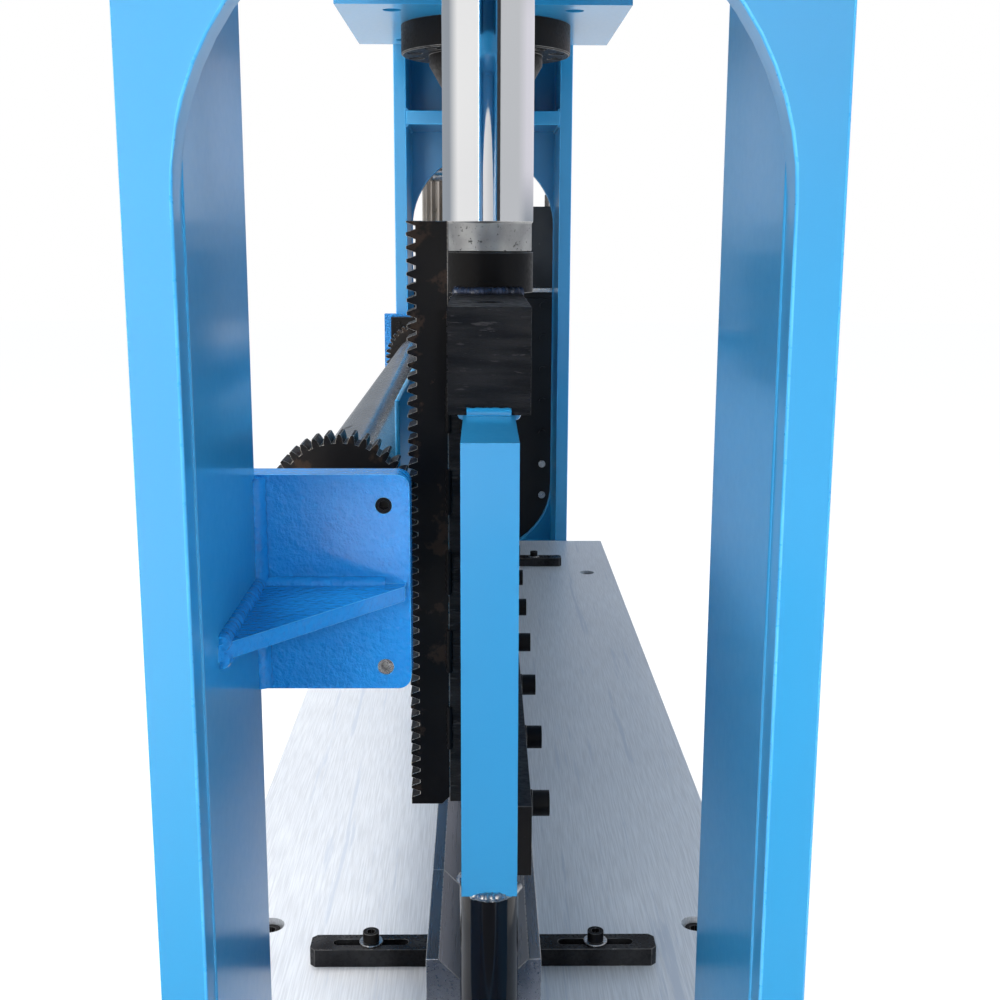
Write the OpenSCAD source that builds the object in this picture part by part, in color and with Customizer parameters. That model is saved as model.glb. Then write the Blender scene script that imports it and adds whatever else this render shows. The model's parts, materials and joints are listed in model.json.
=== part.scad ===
// Hydraulic press brake: two end frames, a crown with two cylinders, a table with a V-die,
// and a ram that two racks and a torsion shaft keep level.
// Millimetres. X runs along the bend, -Y is the operator's side, +Z is up.
// Heights named "above the table" start at the table's top face.

/* [End frames] */
// Length of the machine over the end frames
frame_len = 2050; // [1900:10:2400]
// Front-to-back width of an end frame
frame_w = 320; // [300:2:360]
// Thickness of the front and rear flange plates
flange_t = 22; // [16:1:26]
// Depth of an end frame along the machine
flange_d = 188; // [160:2:200]
// Thickness of the outer web plate
web_t = 20; // [12:1:26]
// Margin between the frame's side and the window in the web
window_side = 23; // [20:1:60]
// Bottom of the web's window, below the table's top
window_drop = 60; // [0:5:120]
// Top of the web's window, above the table's top
window_top = 725; // [600:5:740]
// Thickness of the shelf between the flange plates
shelf_t = 24; // [12:1:30]
// Underside of the shelf above the table
shelf_above = 766; // [750:2:800]
// Width of a foot plate
foot_w = 460; // [400:10:600]
// Thickness of a foot plate
foot_t = 25; // [15:1:40]
// How far a foot plate reaches past the frame at each end
foot_out = 38; // [30:1:60]
// Diameter of an anchor hole
anchor_d = 18; // [12:1:24]
// Distance of an anchor hole from the foot plate's edges
anchor_edge = 25; // [20:1:32]

/* [Table and die] */
// Height of the table's top above the floor
table_z = 820; // [760:5:900]
// Front-to-back width of the table
table_w = 450; // [420:5:460]
// Thickness of the table
table_t = 60; // [40:2:80]
// Distance of a table screw from the middle, front to back
table_screw_y = 180; // [160:2:195]
// Distance of a table screw from the table's end
table_screw_end = 242; // [235:1:300]
// Diameter of a table screw's counterbore
table_cbore_d = 24; // [22:1:30]
// Width of the V-die
die_w = 82; // [78:1:90]
// Height of the V-die
die_h = 68; // [60:1:70]
// Opening of the V
vee_w = 64; // [50:1:66]
// Angle of the V
vee_angle = 88; // [84:1:90]
// Length of a short end segment of the die
die_end_len = 135; // [100:5:200]
// Number of long segments of the die
die_segments = 3; // [2:1:5]
// Length of a die clamp
clamp_len = 97; // [90:1:110]
// Width of a die clamp
clamp_w = 23.5; // [20:0.5:30]
// Thickness of a die clamp
clamp_t = 15; // [10:1:20]
// Length of the slot in a die clamp
clamp_slot_len = 60; // [40:1:66]
// Width of the slot in a die clamp
clamp_slot_w = 9; // [8.6:0.1:11]
// Distance of a die clamp from the table's end
clamp_from_end = 188; // [180:1:210]

/* [Ram] */
// Length of the ram
ram_len = 1620; // [1600:5:1640]
// Thickness of the ram
ram_t = 37; // [34:1:45]
// Height of the ram
ram_h = 305; // [280:5:320]
// Underside of the ram above the table at rest
ram_above = 140; // [136:1:146]
// How far the ram's middle plane stands in front of the machine's
ram_forward = 3.7; // [0:0.1:8]
// Diameter of a guide post
post_d = 40; // [30:1:44]
// Reach of a guide post below the table's top at rest
post_below = 250; // [230:5:270]
// Height of the punch clamp bar
bar_h = 49; // [44:1:60]
// Thickness of the punch clamp bar
bar_t = 9.5; // [8:0.5:14]
// Underside of the punch clamp bar above the ram's underside
bar_up = 15; // [10:1:20]
// Distance between the screws of the clamp bar
bar_screw_pitch = 125; // [100:5:150]
// Depth of the rebate that takes the punch's tang
tang_t = 12; // [8:1:16]
// Height of the rebate that takes the punch's tang
tang_h = 30; // [20:1:34]
// Reach of the punch below the ram
punch_h = 60; // [52:1:66]
// Width of a coupling block
block_w = 60; // [50:1:70]
// Height of a coupling block
block_h = 77; // [60:1:90]
// Length of a coupling block
block_len = 290; // [280:5:320]
// Distance of a coupling block from the ram's end
block_from_end = 130; // [110:2:140]
// Height of the collar on a coupling block
collar_h = 35; // [20:1:50]

/* [Racks and torsion shaft] */
// Module of the racks and pinions
gear_module = 3; // [3:0.25:3]
// Teeth of a pinion
pinion_teeth = 36; // [34:1:38]
// Teeth of a rack
rack_teeth = 47; // [45:1:48]
// Whole rack teeth above the pinion's axis at rest
rack_teeth_above = 22; // [21:1:23]
// Plain length of a rack below its last tooth
rack_foot = 4.7; // [2:0.1:10]
// Depth of a rack's section, front to back
rack_depth = 30; // [26:1:34]
// Width of a rack along the machine
rack_w = 30; // [20:1:34]
// Face width of a pinion
pinion_w = 28; // [20:1:32]
// Distance of a rack from the ram's end
rack_from_end = 160; // [150:2:170]
// Pinion axis above the table
shaft_above = 369.5; // [365:0.5:375]
// Diameter of the torsion tube
tube_d = 72; // [60:1:76]
// Diameter of the shaft's journals
journal_d = 35; // [25:1:40]
// Side of a bearing bracket's square plate
bracket_size = 135; // [130:1:145]
// Thickness of a bearing bracket's plate
bracket_t = 22; // [16:1:26]
// Front edge of a bearing bracket behind the machine's middle plane
bracket_front = 45; // [43:1:48]
// Underside of a bearing bracket above the table
bracket_above = 295; // [290:1:298]
// Diameter of a bracket screw
bracket_screw_d = 10; // [8:1:12]
// Thickness of the guard in front of and under the torsion tube
guard_t = 4; // [3:1:5]
// Height of the guard's front leaf above the shaft's axis
guard_up = 76.5; // [40:0.5:90]

/* [Cylinders] */
// Distance between the two cylinders
cyl_spacing = 860; // [840:5:880]
// Diameter of a piston rod
rod_d = 80; // [70:1:90]
// Bore of a cylinder
bore_d = 140; // [120:1:150]
// Outside diameter of a barrel
barrel_d = 190; // [180:1:194]
// Diameter of a gland flange
gland_d = 250; // [246:1:260]
// Thickness of a gland flange
gland_t = 42; // [30:1:50]
// Number of screws round a gland flange
gland_screws = 12; // [8:1:12]
// Width of a cylinder plate, front to back
cyl_plate_w = 400; // [380:5:420]
// Length of a cylinder plate
cyl_plate_len = 380; // [360:5:400]
// Thickness of a cylinder plate
cyl_plate_t = 35; // [25:1:45]
// Underside of a cylinder plate above the table
cyl_plate_above = 873.5; // [860:0.5:890]
// Length of a cylinder's barrel
barrel_len = 291; // [285:1:330]
// Travel of the ram downwards from rest
travel_down = 35; // [20:1:38]
// Travel of the ram upwards from rest
travel_up = 115; // [60:5:120]

/* [Crown and bed] */
// Height of the crown's side plates
crown_h = 200; // [150:5:210]
// Thickness of the crown's cover plate
crown_cover_t = 15; // [10:1:20]
// Height of the bed's side plates
bed_h = 380; // [300:10:420]
// Thickness of the bed's side plates
bed_plate_t = 25; // [15:1:30]
// Number of ribs in the bed
bed_ribs = 5; // [3:1:7]

/* [Power unit] */
// Length of the oil tank along the machine
tank_len = 340; // [330:5:400]
// Width of the oil tank, front to back
tank_w = 290; // [280:5:380]
// Height of the oil tank
tank_h = 540; // [500:10:600]
// Gap between the end frame and the tank
tank_gap = 35; // [30:1:50]
// Underside of the tank above the floor
tank_z = 740; // [720:5:760]
// Diameter of the motor
motor_d = 200; // [180:2:210]
// Length of the motor's body
motor_h = 240; // [200:5:280]
// Outside diameter of the oil pipes
pipe_d = 22; // [14:1:24]

/* [Controls] */
// Width of the control box
box_w = 155; // [140:5:160]
// Height of the control box
box_h = 220; // [210:5:260]
// Depth of the control box
box_d = 75; // [60:5:100]
// Top of the control box below the table's top
box_drop = 20; // [10:5:60]
// Diameter of the stop button's head
stop_d = 40; // [30:1:46]
// Diameter of a push button
button_d = 22; // [18:1:26]
// Travel of a push button
button_travel = 4; // [2:0.5:6]

/* [Fits] */
// Radial clearance of a running fit
run_fit = 0.05; // [0.02:0.01:0.08]
// Radial clearance of a hole for a screw
screw_fit = 0.5; // [0.2:0.1:0.8]
// Gap where two finished faces meet without touching
seat_gap = 0.2; // [0.1:0.05:0.3]
// Backlash between a rack and its pinion
backlash = 0.3; // [0.2:0.05:0.5]
// Gap round a guide post where it passes the frame
post_gap = 12; // [5:1:20]

/* [Hidden] */

blue = [0.10, 0.42, 0.80];
steel = [0.66, 0.67, 0.68];
black = [0.10, 0.10, 0.11];
bronze = [0.72, 0.53, 0.26];

fine = 64;
eps = 0.01;

// Frame and table
half_len = frame_len / 2;
half_clear = half_len - flange_d;
inner_y = frame_w / 2 - flange_t;
window_r = frame_w / 2 - window_side;
plate_z = table_z + cyl_plate_above;
crown_z = plate_z + cyl_plate_t;
frame_top = crown_z + crown_h;
foot_x0 = -half_len - foot_out;
foot_x1 = -half_clear + foot_out;
bed_top = table_z - table_t;
bed_z = bed_top - bed_h;
bed_floor_t = 25;
lug_w = 60;
lug_t = 30;
lug_reach = 25;
table_screw_r = 6;
table_cbore_h = 16;

// Ram and punch
ram_y = -ram_forward;
ram_front = ram_y - ram_t / 2;
ram_rear = ram_y + ram_t / 2;
ram_z = table_z + ram_above;
ram_top = ram_z + ram_h;
post_r = post_d / 2;
post_x = ram_len / 2 - post_r;
punch_half = post_x - post_r - 5;
bar_screw_r = 6;
bar_head_r = 9;
bar_head_h = 12;
bar_washer_t = 2.5;
bar_screw_depth = 22;
bar_screws = floor((ram_len - 4 * bar_head_r) / bar_screw_pitch) + 1;
bar_screw_z = ram_z + bar_up + bar_h / 2;
tip_z = ram_z - punch_h;

// Coupling blocks, rods and cylinders
cyl_x = cyl_spacing / 2;
block_x0 = ram_len / 2 - block_from_end;
block_top = ram_top + block_h;
collar_top = block_top + collar_h;
rod_r = rod_d / 2;
band_h = 26;
band_r = rod_r - 1.3;
gland_z = plate_z - gland_t;
barrel_r = barrel_d / 2;
gland_rim = gland_d / 2 - barrel_r;
gland_screw_r = gland_rim * 7 / 30;
gland_pitch_r = barrel_r + gland_rim * 5 / 12;
gland_cbore_h = 15;
barrel_flange_t = 30;
barrel_flange_z = crown_z;
barrel_top = plate_z + barrel_len;
piston_h = 60;
piston_z = plate_z + travel_down + 15;
cap_t = 45;
cap_r = barrel_r + 20;

// Racks, pinions and shaft
gear_pitch = PI * gear_module;
pitch_r = gear_module * pinion_teeth / 2;
addendum = gear_module;
dedendum = 1.25 * gear_module;
pressure = 20;
block_rear = ram_y + block_w / 2;
rack_back = block_rear;
rack_pitch_y = rack_back + rack_depth - addendum;
shaft_y = rack_pitch_y + pitch_r;
shaft_z = table_z + shaft_above;
rack_x = ram_len / 2 - rack_from_end - rack_w / 2;
rack_top = shaft_z + (rack_teeth_above + 0.5) * gear_pitch;
rack_bottom = rack_top - rack_teeth * gear_pitch;
journal_r = journal_d / 2;
tube_end = rack_x - rack_w / 2 - 22;
bracket_z = table_z + bracket_above;
bearing_w = 34;
bearing_side = 120;
bearing_screw_y = 46.5;
bearing_low = 60.5;
bearing_high = 41.5;
guard_y = shaft_y - tube_d / 2 - 2 - guard_t;

// Die and clamps
die_half = post_x - post_r - 5;
clamp_x = half_clear - clamp_from_end;
clamp_slot_y = die_w / 2 + clamp_len / 2 + 0.5;
clamp_screw_r = 4;
clamp_head_r = 6.5;
clamp_head_h = 8;
clamp_washer_r = 9.5;
clamp_washer_t = 1.6;

// Power unit
tank_x = half_len + tank_gap;
tank_top = tank_z + tank_h;
lid_t = 8;
lid_z = tank_top;
lid_over = 10;
motor_x = tank_x + tank_len - motor_d / 2 - 15;
motor_y = 30;
bell_h = 60;
motor_z = lid_z + lid_t + bell_h;
motor_top = motor_z + motor_h;
fan_cover_h = 62;
manifold_x = tank_x + 25;
manifold_len = 100;
manifold_w = 110;
manifold_h = 160;
manifold_y = -152;
manifold_edge = 20;
manifold_z = lid_z + lid_t;
pipe_r = pipe_d / 2;
pipe_z = frame_top + crown_cover_t + 26;
front_pipe_y = ram_y - cap_r - 22;
rear_pipe_y = ram_y + barrel_r + pipe_r + 11;
rear_port_z = crown_z + 70;
pipe_down_x = half_len + 14 + pipe_r;

// Controls
box_x = -half_len + (flange_d - box_w) / 2 + 4;
box_y = -frame_w / 2 - box_d;
box_z = table_z - box_drop - box_h;
stop_h = 26;

// The origin lies on the floor under the middle of the outline
low_x = -half_len - foot_out;
high_x = tank_x + tank_len + lid_over;
low_y = box_y - stop_h - button_travel;
high_y = foot_w / 2;

module machine() {
    translate([-(low_x + high_x) / 2, -(low_y + high_y) / 2, 0])
        children();
}

// A rectangular bar between two ends on each axis
module bar(x, y, z) {
    translate([x[0], y[0], z[0]])
        cube([x[1] - x[0], y[1] - y[0], z[1] - z[0]]);
}

// A round bar along X
module rod_x(x, y, z, r) {
    translate([x[0], y, z])
        rotate([0, 90, 0])
            cylinder(h = x[1] - x[0], r = r, $fn = fine);
}

// A round bar along Y
module rod_y(x, y, z, r) {
    translate([x, y[1], z])
        rotate([90, 0, 0])
            cylinder(h = y[1] - y[0], r = r, $fn = fine);
}

// A round bar along Z
module rod_z(x, y, z, r) {
    translate([x, y, z[0]])
        cylinder(h = z[1] - z[0], r = r, $fn = fine);
}

// A piece at the near end, or its mirror image at the far end
module at_end(far) {
    mirror([far ? 1 : 0, 0, 0])
        children();
}

module at_both_ends() {
    for (far = [false, true])
        at_end(far)
            children();
}

// A profile drawn in Y and Z, drawn out along X
module along_x(x) {
    translate([x[0], 0, 0])
        rotate([90, 0, 90])
            linear_extrude(height = x[1] - x[0])
                children();
}

// A socket screw that points along -Z, with the underside of its head at the origin
module cap_screw(r, len, head_r, head_h) {
    difference() {
        union() {
            translate([0, 0, -len])
                cylinder(h = len + eps, r = r, $fn = 32);
            cylinder(h = head_h, r = head_r, $fn = 48);
        }
        translate([0, 0, head_h * 0.45])
            cylinder(h = head_h, r = head_r * 0.55, $fn = 6);
    }
}

// End frames
module frame_web() {
    low = table_z - window_drop + window_r;
    high = table_z + window_top - window_r;
    cut = [-half_len - 1, -half_len + web_t + 1];
    difference() {
        bar([-half_len, -half_len + web_t], [-frame_w / 2, frame_w / 2], [foot_t, frame_top]);
        rod_x(cut, 0, low, window_r);
        rod_x(cut, 0, high, window_r);
        bar(cut, [-window_r, window_r], [low, high]);
    }
}

module flange(rear) {
    y = rear ? [inner_y, frame_w / 2] : [-frame_w / 2, -inner_y];
    bar([-half_len + web_t, -half_clear], y, [foot_t, frame_top]);
}

module frame_shelves() {
    x = [-half_len + web_t, -half_clear];
    y = [-inner_y, inner_y];
    post_z = [table_z - post_below - travel_down, ram_z + travel_up];
    difference() {
        for (z = [table_z + shelf_above, table_z - window_drop - 3 * shelf_t, foot_t + 60])
            bar(x, y, [z, z + shelf_t]);
        rod_z(-post_x, ram_y, post_z, post_r + post_gap);
    }
}

module near_frame_web() {
    machine() color(blue) frame_web();
}

module near_front_flange() {
    machine() color(blue) flange(false);
}

module near_rear_flange() {
    machine() color(blue) flange(true);
}

module near_frame_shelves() {
    machine() color(blue) frame_shelves();
}

module far_frame_web() {
    machine() color(blue) at_end(true) frame_web();
}

module far_front_flange() {
    machine() color(blue) at_end(true) flange(false);
}

module far_rear_flange() {
    machine() color(blue) at_end(true) flange(true);
}

module far_frame_shelves() {
    machine() color(blue) at_end(true) frame_shelves();
}

module foot_plates() {
    anchor_x = [foot_x0 + anchor_edge, foot_x1 - anchor_edge];
    anchor_y = foot_w / 2 - anchor_edge;
    machine() color(blue) at_both_ends() difference() {
        bar([foot_x0, foot_x1], [-foot_w / 2, foot_w / 2], [0, foot_t]);
        for (x = anchor_x, y = [-anchor_y, anchor_y])
            rod_z(x, y, [-1, foot_t + 1], anchor_d / 2);
    }
}

// Crown
module crown_plate(rear) {
    y = rear ? [inner_y, frame_w / 2] : [-frame_w / 2, -inner_y];
    bar([-half_clear, half_clear], y, [crown_z, frame_top]);
}

module crown_front_plate() {
    machine() color(blue) crown_plate(false);
}

module crown_rear_plate() {
    machine() color(blue) crown_plate(true);
}

module crown_cover() {
    top = frame_top + crown_cover_t;
    machine() color(blue) difference() {
        bar([-half_len, half_len], [-frame_w / 2, frame_w / 2], [frame_top, top]);
        for (x = [-cyl_x, cyl_x]) {
            rod_z(x, ram_y, [frame_top - 1, top + 1], barrel_r + screw_fit);
            rod_z(x, rear_pipe_y, [frame_top - 1, top + 1], pipe_r + screw_fit);
        }
    }
}

module lifting_eyes() {
    ring_r = 26;
    wire_r = 8;
    base_h = 12;
    z = frame_top + crown_cover_t;
    machine() color(black) for (x = [-half_clear, half_clear]) {
        union() {
            rod_z(x, 0, [z, z + base_h], 24);
            translate([x, 0, z + base_h + ring_r + wire_r - 3])
                rotate([90, 0, 0])
                    rotate_extrude($fn = 48)
                        translate([ring_r, 0])
                            circle(r = wire_r, $fn = 24);
        }
    }
}

module cylinder_plates() {
    hole_x = cyl_plate_len / 2 - 48;
    hole_y = cyl_plate_w / 2 - 75;
    hole_r = 13;
    z = [plate_z, crown_z];
    machine() color(blue) for (x = [-cyl_x, cyl_x]) difference() {
        bar([x - cyl_plate_len / 2, x + cyl_plate_len / 2], [-cyl_plate_w / 2, cyl_plate_w / 2], z);
        rod_z(x, ram_y, [z[0] - 1, z[1] + 1], barrel_r + screw_fit);
        for (i = [0 : gland_screws - 1])
            translate([x, ram_y, 0])
                rotate(360 * (i + 0.5) / gland_screws)
                    rod_z(gland_pitch_r, 0, [z[0] - 1, z[1] + 1], gland_screw_r + screw_fit);
        for (dx = [-hole_x, hole_x], y = [-hole_y, hole_y])
            rod_z(x + dx, y, [z[0] - 1, z[1] + 1], hole_r);
    }
}

// Bed and table
// The lugs outside each bed plate take the table's screws
module bed_plate() {
    gusset_t = 10;
    gusset_h = 90;
    lug_x = half_clear - table_screw_end;
    outside = frame_w / 2;
    lug_end = table_screw_y + lug_reach;
    difference() {
        union() {
            bar([-half_clear, half_clear], [outside - bed_plate_t, outside], [bed_z, bed_top]);
            for (x = [-lug_x, lug_x]) {
                bar([x - lug_w / 2, x + lug_w / 2], [outside - eps, lug_end], [bed_top - lug_t, bed_top]);
                for (dx = [-lug_w / 2, lug_w / 2 - gusset_t])
                    along_x([x + dx, x + dx + gusset_t])
                        polygon([[outside - eps, bed_top - lug_t - gusset_h],
                            [outside - eps, bed_top - lug_t + eps], [lug_end, bed_top - lug_t + eps]]);
            }
        }
        for (x = [-lug_x, lug_x])
            rod_z(x, table_screw_y, [bed_top - lug_t - 1, bed_top + 1], table_screw_r + run_fit);
    }
}

module bed_front_plate() {
    machine() color(blue) mirror([0, 1, 0]) bed_plate();
}

module bed_rear_plate() {
    machine() color(blue) bed_plate();
}

module bed_floor_and_ribs() {
    inside = frame_w / 2 - bed_plate_t;
    rib_span = 2 * (post_x - 2 * post_d);
    rib_t = 16;
    machine() color(blue) union() {
        bar([-half_clear, half_clear], [-frame_w / 2, frame_w / 2], [bed_z - bed_floor_t, bed_z]);
        for (i = [0 : bed_ribs - 1]) {
            x = -rib_span / 2 + i * rib_span / (bed_ribs - 1);
            bar([x - rib_t / 2, x + rib_t / 2], [-inside, inside], [bed_z - eps, bed_top]);
        }
    }
}

module table() {
    x = half_clear - table_screw_end;
    machine() color(steel) difference() {
        bar([-half_clear, half_clear], [-table_w / 2, table_w / 2], [table_z - table_t, table_z]);
        for (sx = [-x, x], sy = [-table_screw_y, table_screw_y]) {
            rod_z(sx, sy, [table_z - table_t - 1, table_z], table_screw_r + screw_fit);
            rod_z(sx, sy, [table_z - table_cbore_h, table_z + 1], table_cbore_d / 2);
        }
        for (sx = [-clamp_x, clamp_x], sy = [-clamp_slot_y, clamp_slot_y])
            rod_z(sx, sy, [table_z - 31, table_z + 1], clamp_screw_r + run_fit);
        for (sx = [-post_x, post_x])
            rod_z(sx, ram_y, [table_z - table_t - 1, table_z + 1], post_r + 8 + run_fit);
    }
}

module table_screws() {
    x = half_clear - table_screw_end;
    len = table_t - table_cbore_h + lug_t - 2;
    machine() color(black) for (sx = [-x, x], sy = [-table_screw_y, table_screw_y])
        translate([sx, sy, table_z - table_cbore_h])
            cap_screw(table_screw_r, len, table_screw_r * 1.5, table_screw_r * 2);
}

module die_profile() {
    root = vee_w / 2 / tan(vee_angle / 2);
    flat = 3;
    z_low = table_z + die_h - root + flat / tan(vee_angle / 2);
    polygon([[-die_w / 2, table_z], [die_w / 2, table_z], [die_w / 2, table_z + die_h],
        [vee_w / 2, table_z + die_h], [flat, z_low], [flat, z_low - 4],
        [-flat, z_low - 4], [-flat, z_low], [-vee_w / 2, table_z + die_h],
        [-die_w / 2, table_z + die_h]]);
}

module v_die() {
    long_x = die_half - die_end_len;
    long_len = 2 * long_x / die_segments;
    machine() color(steel) {
        at_both_ends()
            along_x([-die_half, -long_x - seat_gap])
                die_profile();
        for (i = [0 : die_segments - 1])
            along_x([-long_x + i * long_len, -long_x + (i + 1) * long_len - seat_gap])
                die_profile();
    }
}

module die_clamp() {
    chamfer = 4;
    half = clamp_w / 2;
    y0 = die_w / 2 + seat_gap;
    y1 = y0 + clamp_len;
    slot_half = (clamp_slot_len - clamp_slot_w) / 2;
    translate([-clamp_x, 0, table_z])
        linear_extrude(height = clamp_t)
            difference() {
                polygon([[-half, y0], [half, y0], [half, y1 - chamfer], [half - chamfer, y1],
                    [-half + chamfer, y1], [-half, y1 - chamfer]]);
                for (dy = [-slot_half, slot_half])
                    translate([0, clamp_slot_y + dy])
                        circle(d = clamp_slot_w, $fn = 32);
                translate([-clamp_slot_w / 2, clamp_slot_y - slot_half])
                    square([clamp_slot_w, 2 * slot_half]);
            }
}

module near_front_clamp() {
    machine() color(black) mirror([0, 1, 0]) die_clamp();
}

module near_rear_clamp() {
    machine() color(black) die_clamp();
}

module far_front_clamp() {
    machine() color(black) at_end(true) mirror([0, 1, 0]) die_clamp();
}

module far_rear_clamp() {
    machine() color(black) at_end(true) die_clamp();
}

module at_clamps() {
    for (x = [-clamp_x, clamp_x], y = [-clamp_slot_y, clamp_slot_y])
        translate([x, y, table_z + clamp_t])
            children();
}

module clamp_screws() {
    machine() color(black) at_clamps()
        translate([0, 0, clamp_washer_t])
            cap_screw(clamp_screw_r, clamp_t + clamp_washer_t + 28, clamp_head_r, clamp_head_h);
}

module clamp_washers() {
    machine() color(steel) at_clamps() difference() {
        cylinder(h = clamp_washer_t, r = clamp_washer_r, $fn = 48);
        translate([0, 0, -1])
            cylinder(h = clamp_washer_t + 2, r = clamp_screw_r, $fn = 32);
    }
}

module guide_bushes() {
    machine() color(bronze) for (x = [-post_x, post_x]) difference() {
        union() {
            rod_z(x, ram_y, [table_z - table_t - 40, table_z], post_r + 8);
            rod_z(x, ram_y, [table_z - table_t - 10, table_z - table_t], post_r + 16);
        }
        rod_z(x, ram_y, [table_z - table_t - 41, table_z + 1], post_r + run_fit);
    }
}

// Bearing brackets and the torsion shaft
module bracket_screw_places() {
    for (y = [shaft_y - bearing_screw_y, shaft_y + bearing_screw_y])
        for (z = [shaft_z - bearing_low, shaft_z + bearing_high])
            translate([-half_clear, y, z])
                rotate([0, -90, 0])
                    children();
}

module bearing_bracket() {
    corner = 8;
    y = [bracket_front, bracket_front + bracket_size];
    z = [bracket_z, bracket_z + bracket_size];
    gusset_z = shaft_z - 16;
    gusset_t = 9;
    gusset_reach = 126;
    difference() {
        union() {
            bar([-half_clear, -half_clear + bracket_t], [y[0] + corner, y[1]], z);
            bar([-half_clear, -half_clear + bracket_t], [y[0], y[1]], [z[0] + corner, z[1] - corner]);
            for (cz = [z[0] + corner, z[1] - corner])
                rod_x([-half_clear, -half_clear + bracket_t], y[0] + corner, cz, corner);
            translate([0, 0, gusset_z])
                linear_extrude(height = gusset_t)
                    polygon([[-half_clear + eps, y[0] + 3], [-half_clear + eps, inner_y],
                        [-half_clear - gusset_reach, inner_y], [-half_clear - 8, y[0] + 3]]);
        }
        bracket_screw_places()
            translate([0, 0, -bracket_t - 1])
                cylinder(h = bracket_t + 2, d = bracket_screw_d + 2 * run_fit, $fn = 32);
    }
}

module bearing_brackets() {
    machine() color(blue) at_both_ends() bearing_bracket();
}

module bearing_blocks() {
    x0 = -half_clear + bracket_t;
    y = [shaft_y - bearing_side / 2, shaft_y + bearing_side / 2];
    z = [bracket_z + guard_t, shaft_z + bearing_high + 14];
    machine() color(black) at_both_ends() difference() {
        union() {
            bar([x0, x0 + 14], y, z);
            rod_x([x0, x0 + bearing_w], shaft_y, shaft_z, 38);
        }
        rod_x([x0 + 4, x0 + bearing_w + 1], shaft_y, shaft_z, journal_r + run_fit);
        bracket_screw_places()
            translate([0, 0, -bracket_t - 15])
                cylinder(h = 16, d = bracket_screw_d + 2 * run_fit, $fn = 32);
    }
}

module bracket_screws() {
    machine() color(black) at_both_ends() bracket_screw_places() difference() {
        translate([0, 0, -bracket_t - 20])
            cylinder(h = bracket_t + 19, d = bracket_screw_d, $fn = 32);
        translate([0, 0, -7])
            cylinder(h = 8, r = bracket_screw_d * 0.32, $fn = 6);
    }
}

// The floor lies between the brackets, under their bearing blocks
// The front leaf ends short of the pinions
module shaft_guard() {
    end = half_clear - bracket_t;
    machine() color(blue) union() {
        bar([-tube_end, tube_end], [guard_y, guard_y + guard_t], [bracket_z, shaft_z + guard_up]);
        bar([-end, end], [guard_y, inner_y - 2], [bracket_z, bracket_z + guard_t]);
    }
}

module torsion_shaft() {
    end = half_clear - bracket_t - 6;
    machine() color(steel) union() {
        rod_x([-end, end], shaft_y, shaft_z, journal_r);
        rod_x([-tube_end, tube_end], shaft_y, shaft_z, tube_d / 2);
        at_both_ends()
            rod_x([-rack_x - pinion_w / 2 - 18, -rack_x - pinion_w / 2 - 6], shaft_y, shaft_z, 27);
    }
}

// Polar angle of an involute flank at radius r, from the middle of its tooth
function flank_angle(r, base_r, half) =
    half + (tan(pressure) * 180 / PI - pressure)
    - (sqrt(max(0, r * r / base_r / base_r - 1)) * 180 / PI - acos(min(1, base_r / r)));

module pinion_profile() {
    base_r = pitch_r * cos(pressure);
    root_r = pitch_r - dedendum;
    tip_r = pitch_r + addendum - 0.1;
    half = 90 / pinion_teeth - backlash / 4 / pitch_r * 180 / PI;
    steps = 5;
    radii = [for (i = [0 : steps]) base_r + (tip_r - base_r) * i / steps];
    rise = concat([root_r], radii);
    polygon([for (k = [0 : pinion_teeth - 1]) each concat(
        [for (r = rise) let (a = 360 * k / pinion_teeth - flank_angle(max(r, base_r), base_r, half))
            [r * cos(a), r * sin(a)]],
        [for (i = [steps + 1 : -1 : 0]) let (r = rise[i],
            a = 360 * k / pinion_teeth + flank_angle(max(r, base_r), base_r, half))
            [r * cos(a), r * sin(a)]])]);
}

// A tooth of each pinion points at its rack
module pinions() {
    machine() color(black) for (x = [-rack_x, rack_x]) difference() {
        union() {
            translate([x - pinion_w / 2, shaft_y, shaft_z])
                rotate([90, 0, 90])
                    rotate(180)
                        linear_extrude(height = pinion_w)
                            pinion_profile();
            rod_x([x - pinion_w / 2 - 6, x + pinion_w / 2 + 6], shaft_y, shaft_z, 30);
        }
        rod_x([x - pinion_w, x + pinion_w], shaft_y, shaft_z, journal_r);
    }
}

// Racks and what holds them to the ram
module rack_profile() {
    tip_y = rack_pitch_y + addendum;
    root_y = rack_pitch_y - dedendum;
    tip_half = gear_pitch / 4 - addendum * tan(pressure) - backlash / 4;
    root_half = gear_pitch / 4 + dedendum * tan(pressure) - backlash / 4;
    teeth = [for (k = [0 : rack_teeth]) rack_bottom + k * gear_pitch];
    corner = 6;
    foot_z = rack_bottom - rack_foot;
    polygon(concat(
        [[rack_back, foot_z + corner], [rack_back, rack_top], [tip_y, rack_top],
            [tip_y, rack_top - tip_half], [root_y, rack_top - root_half]],
        [for (i = [rack_teeth - 1 : -1 : 1]) each
            [[root_y, teeth[i] + root_half], [tip_y, teeth[i] + tip_half],
                [tip_y, teeth[i] - tip_half], [root_y, teeth[i] - root_half]]],
        [[root_y, rack_bottom + root_half], [tip_y, rack_bottom + tip_half],
            [tip_y, foot_z], [rack_back + corner, foot_z]]));
}

module racks() {
    machine() color(black) for (x = [-rack_x, rack_x])
        along_x([x - rack_w / 2, x + rack_w / 2])
            rack_profile();
}

module rack_spacers() {
    machine() color(black) for (x = [-rack_x, rack_x])
        bar([x - rack_w / 2, x + rack_w / 2], [ram_rear, rack_back],
            [rack_bottom - rack_foot + 2, ram_top - 1]);
}

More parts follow.
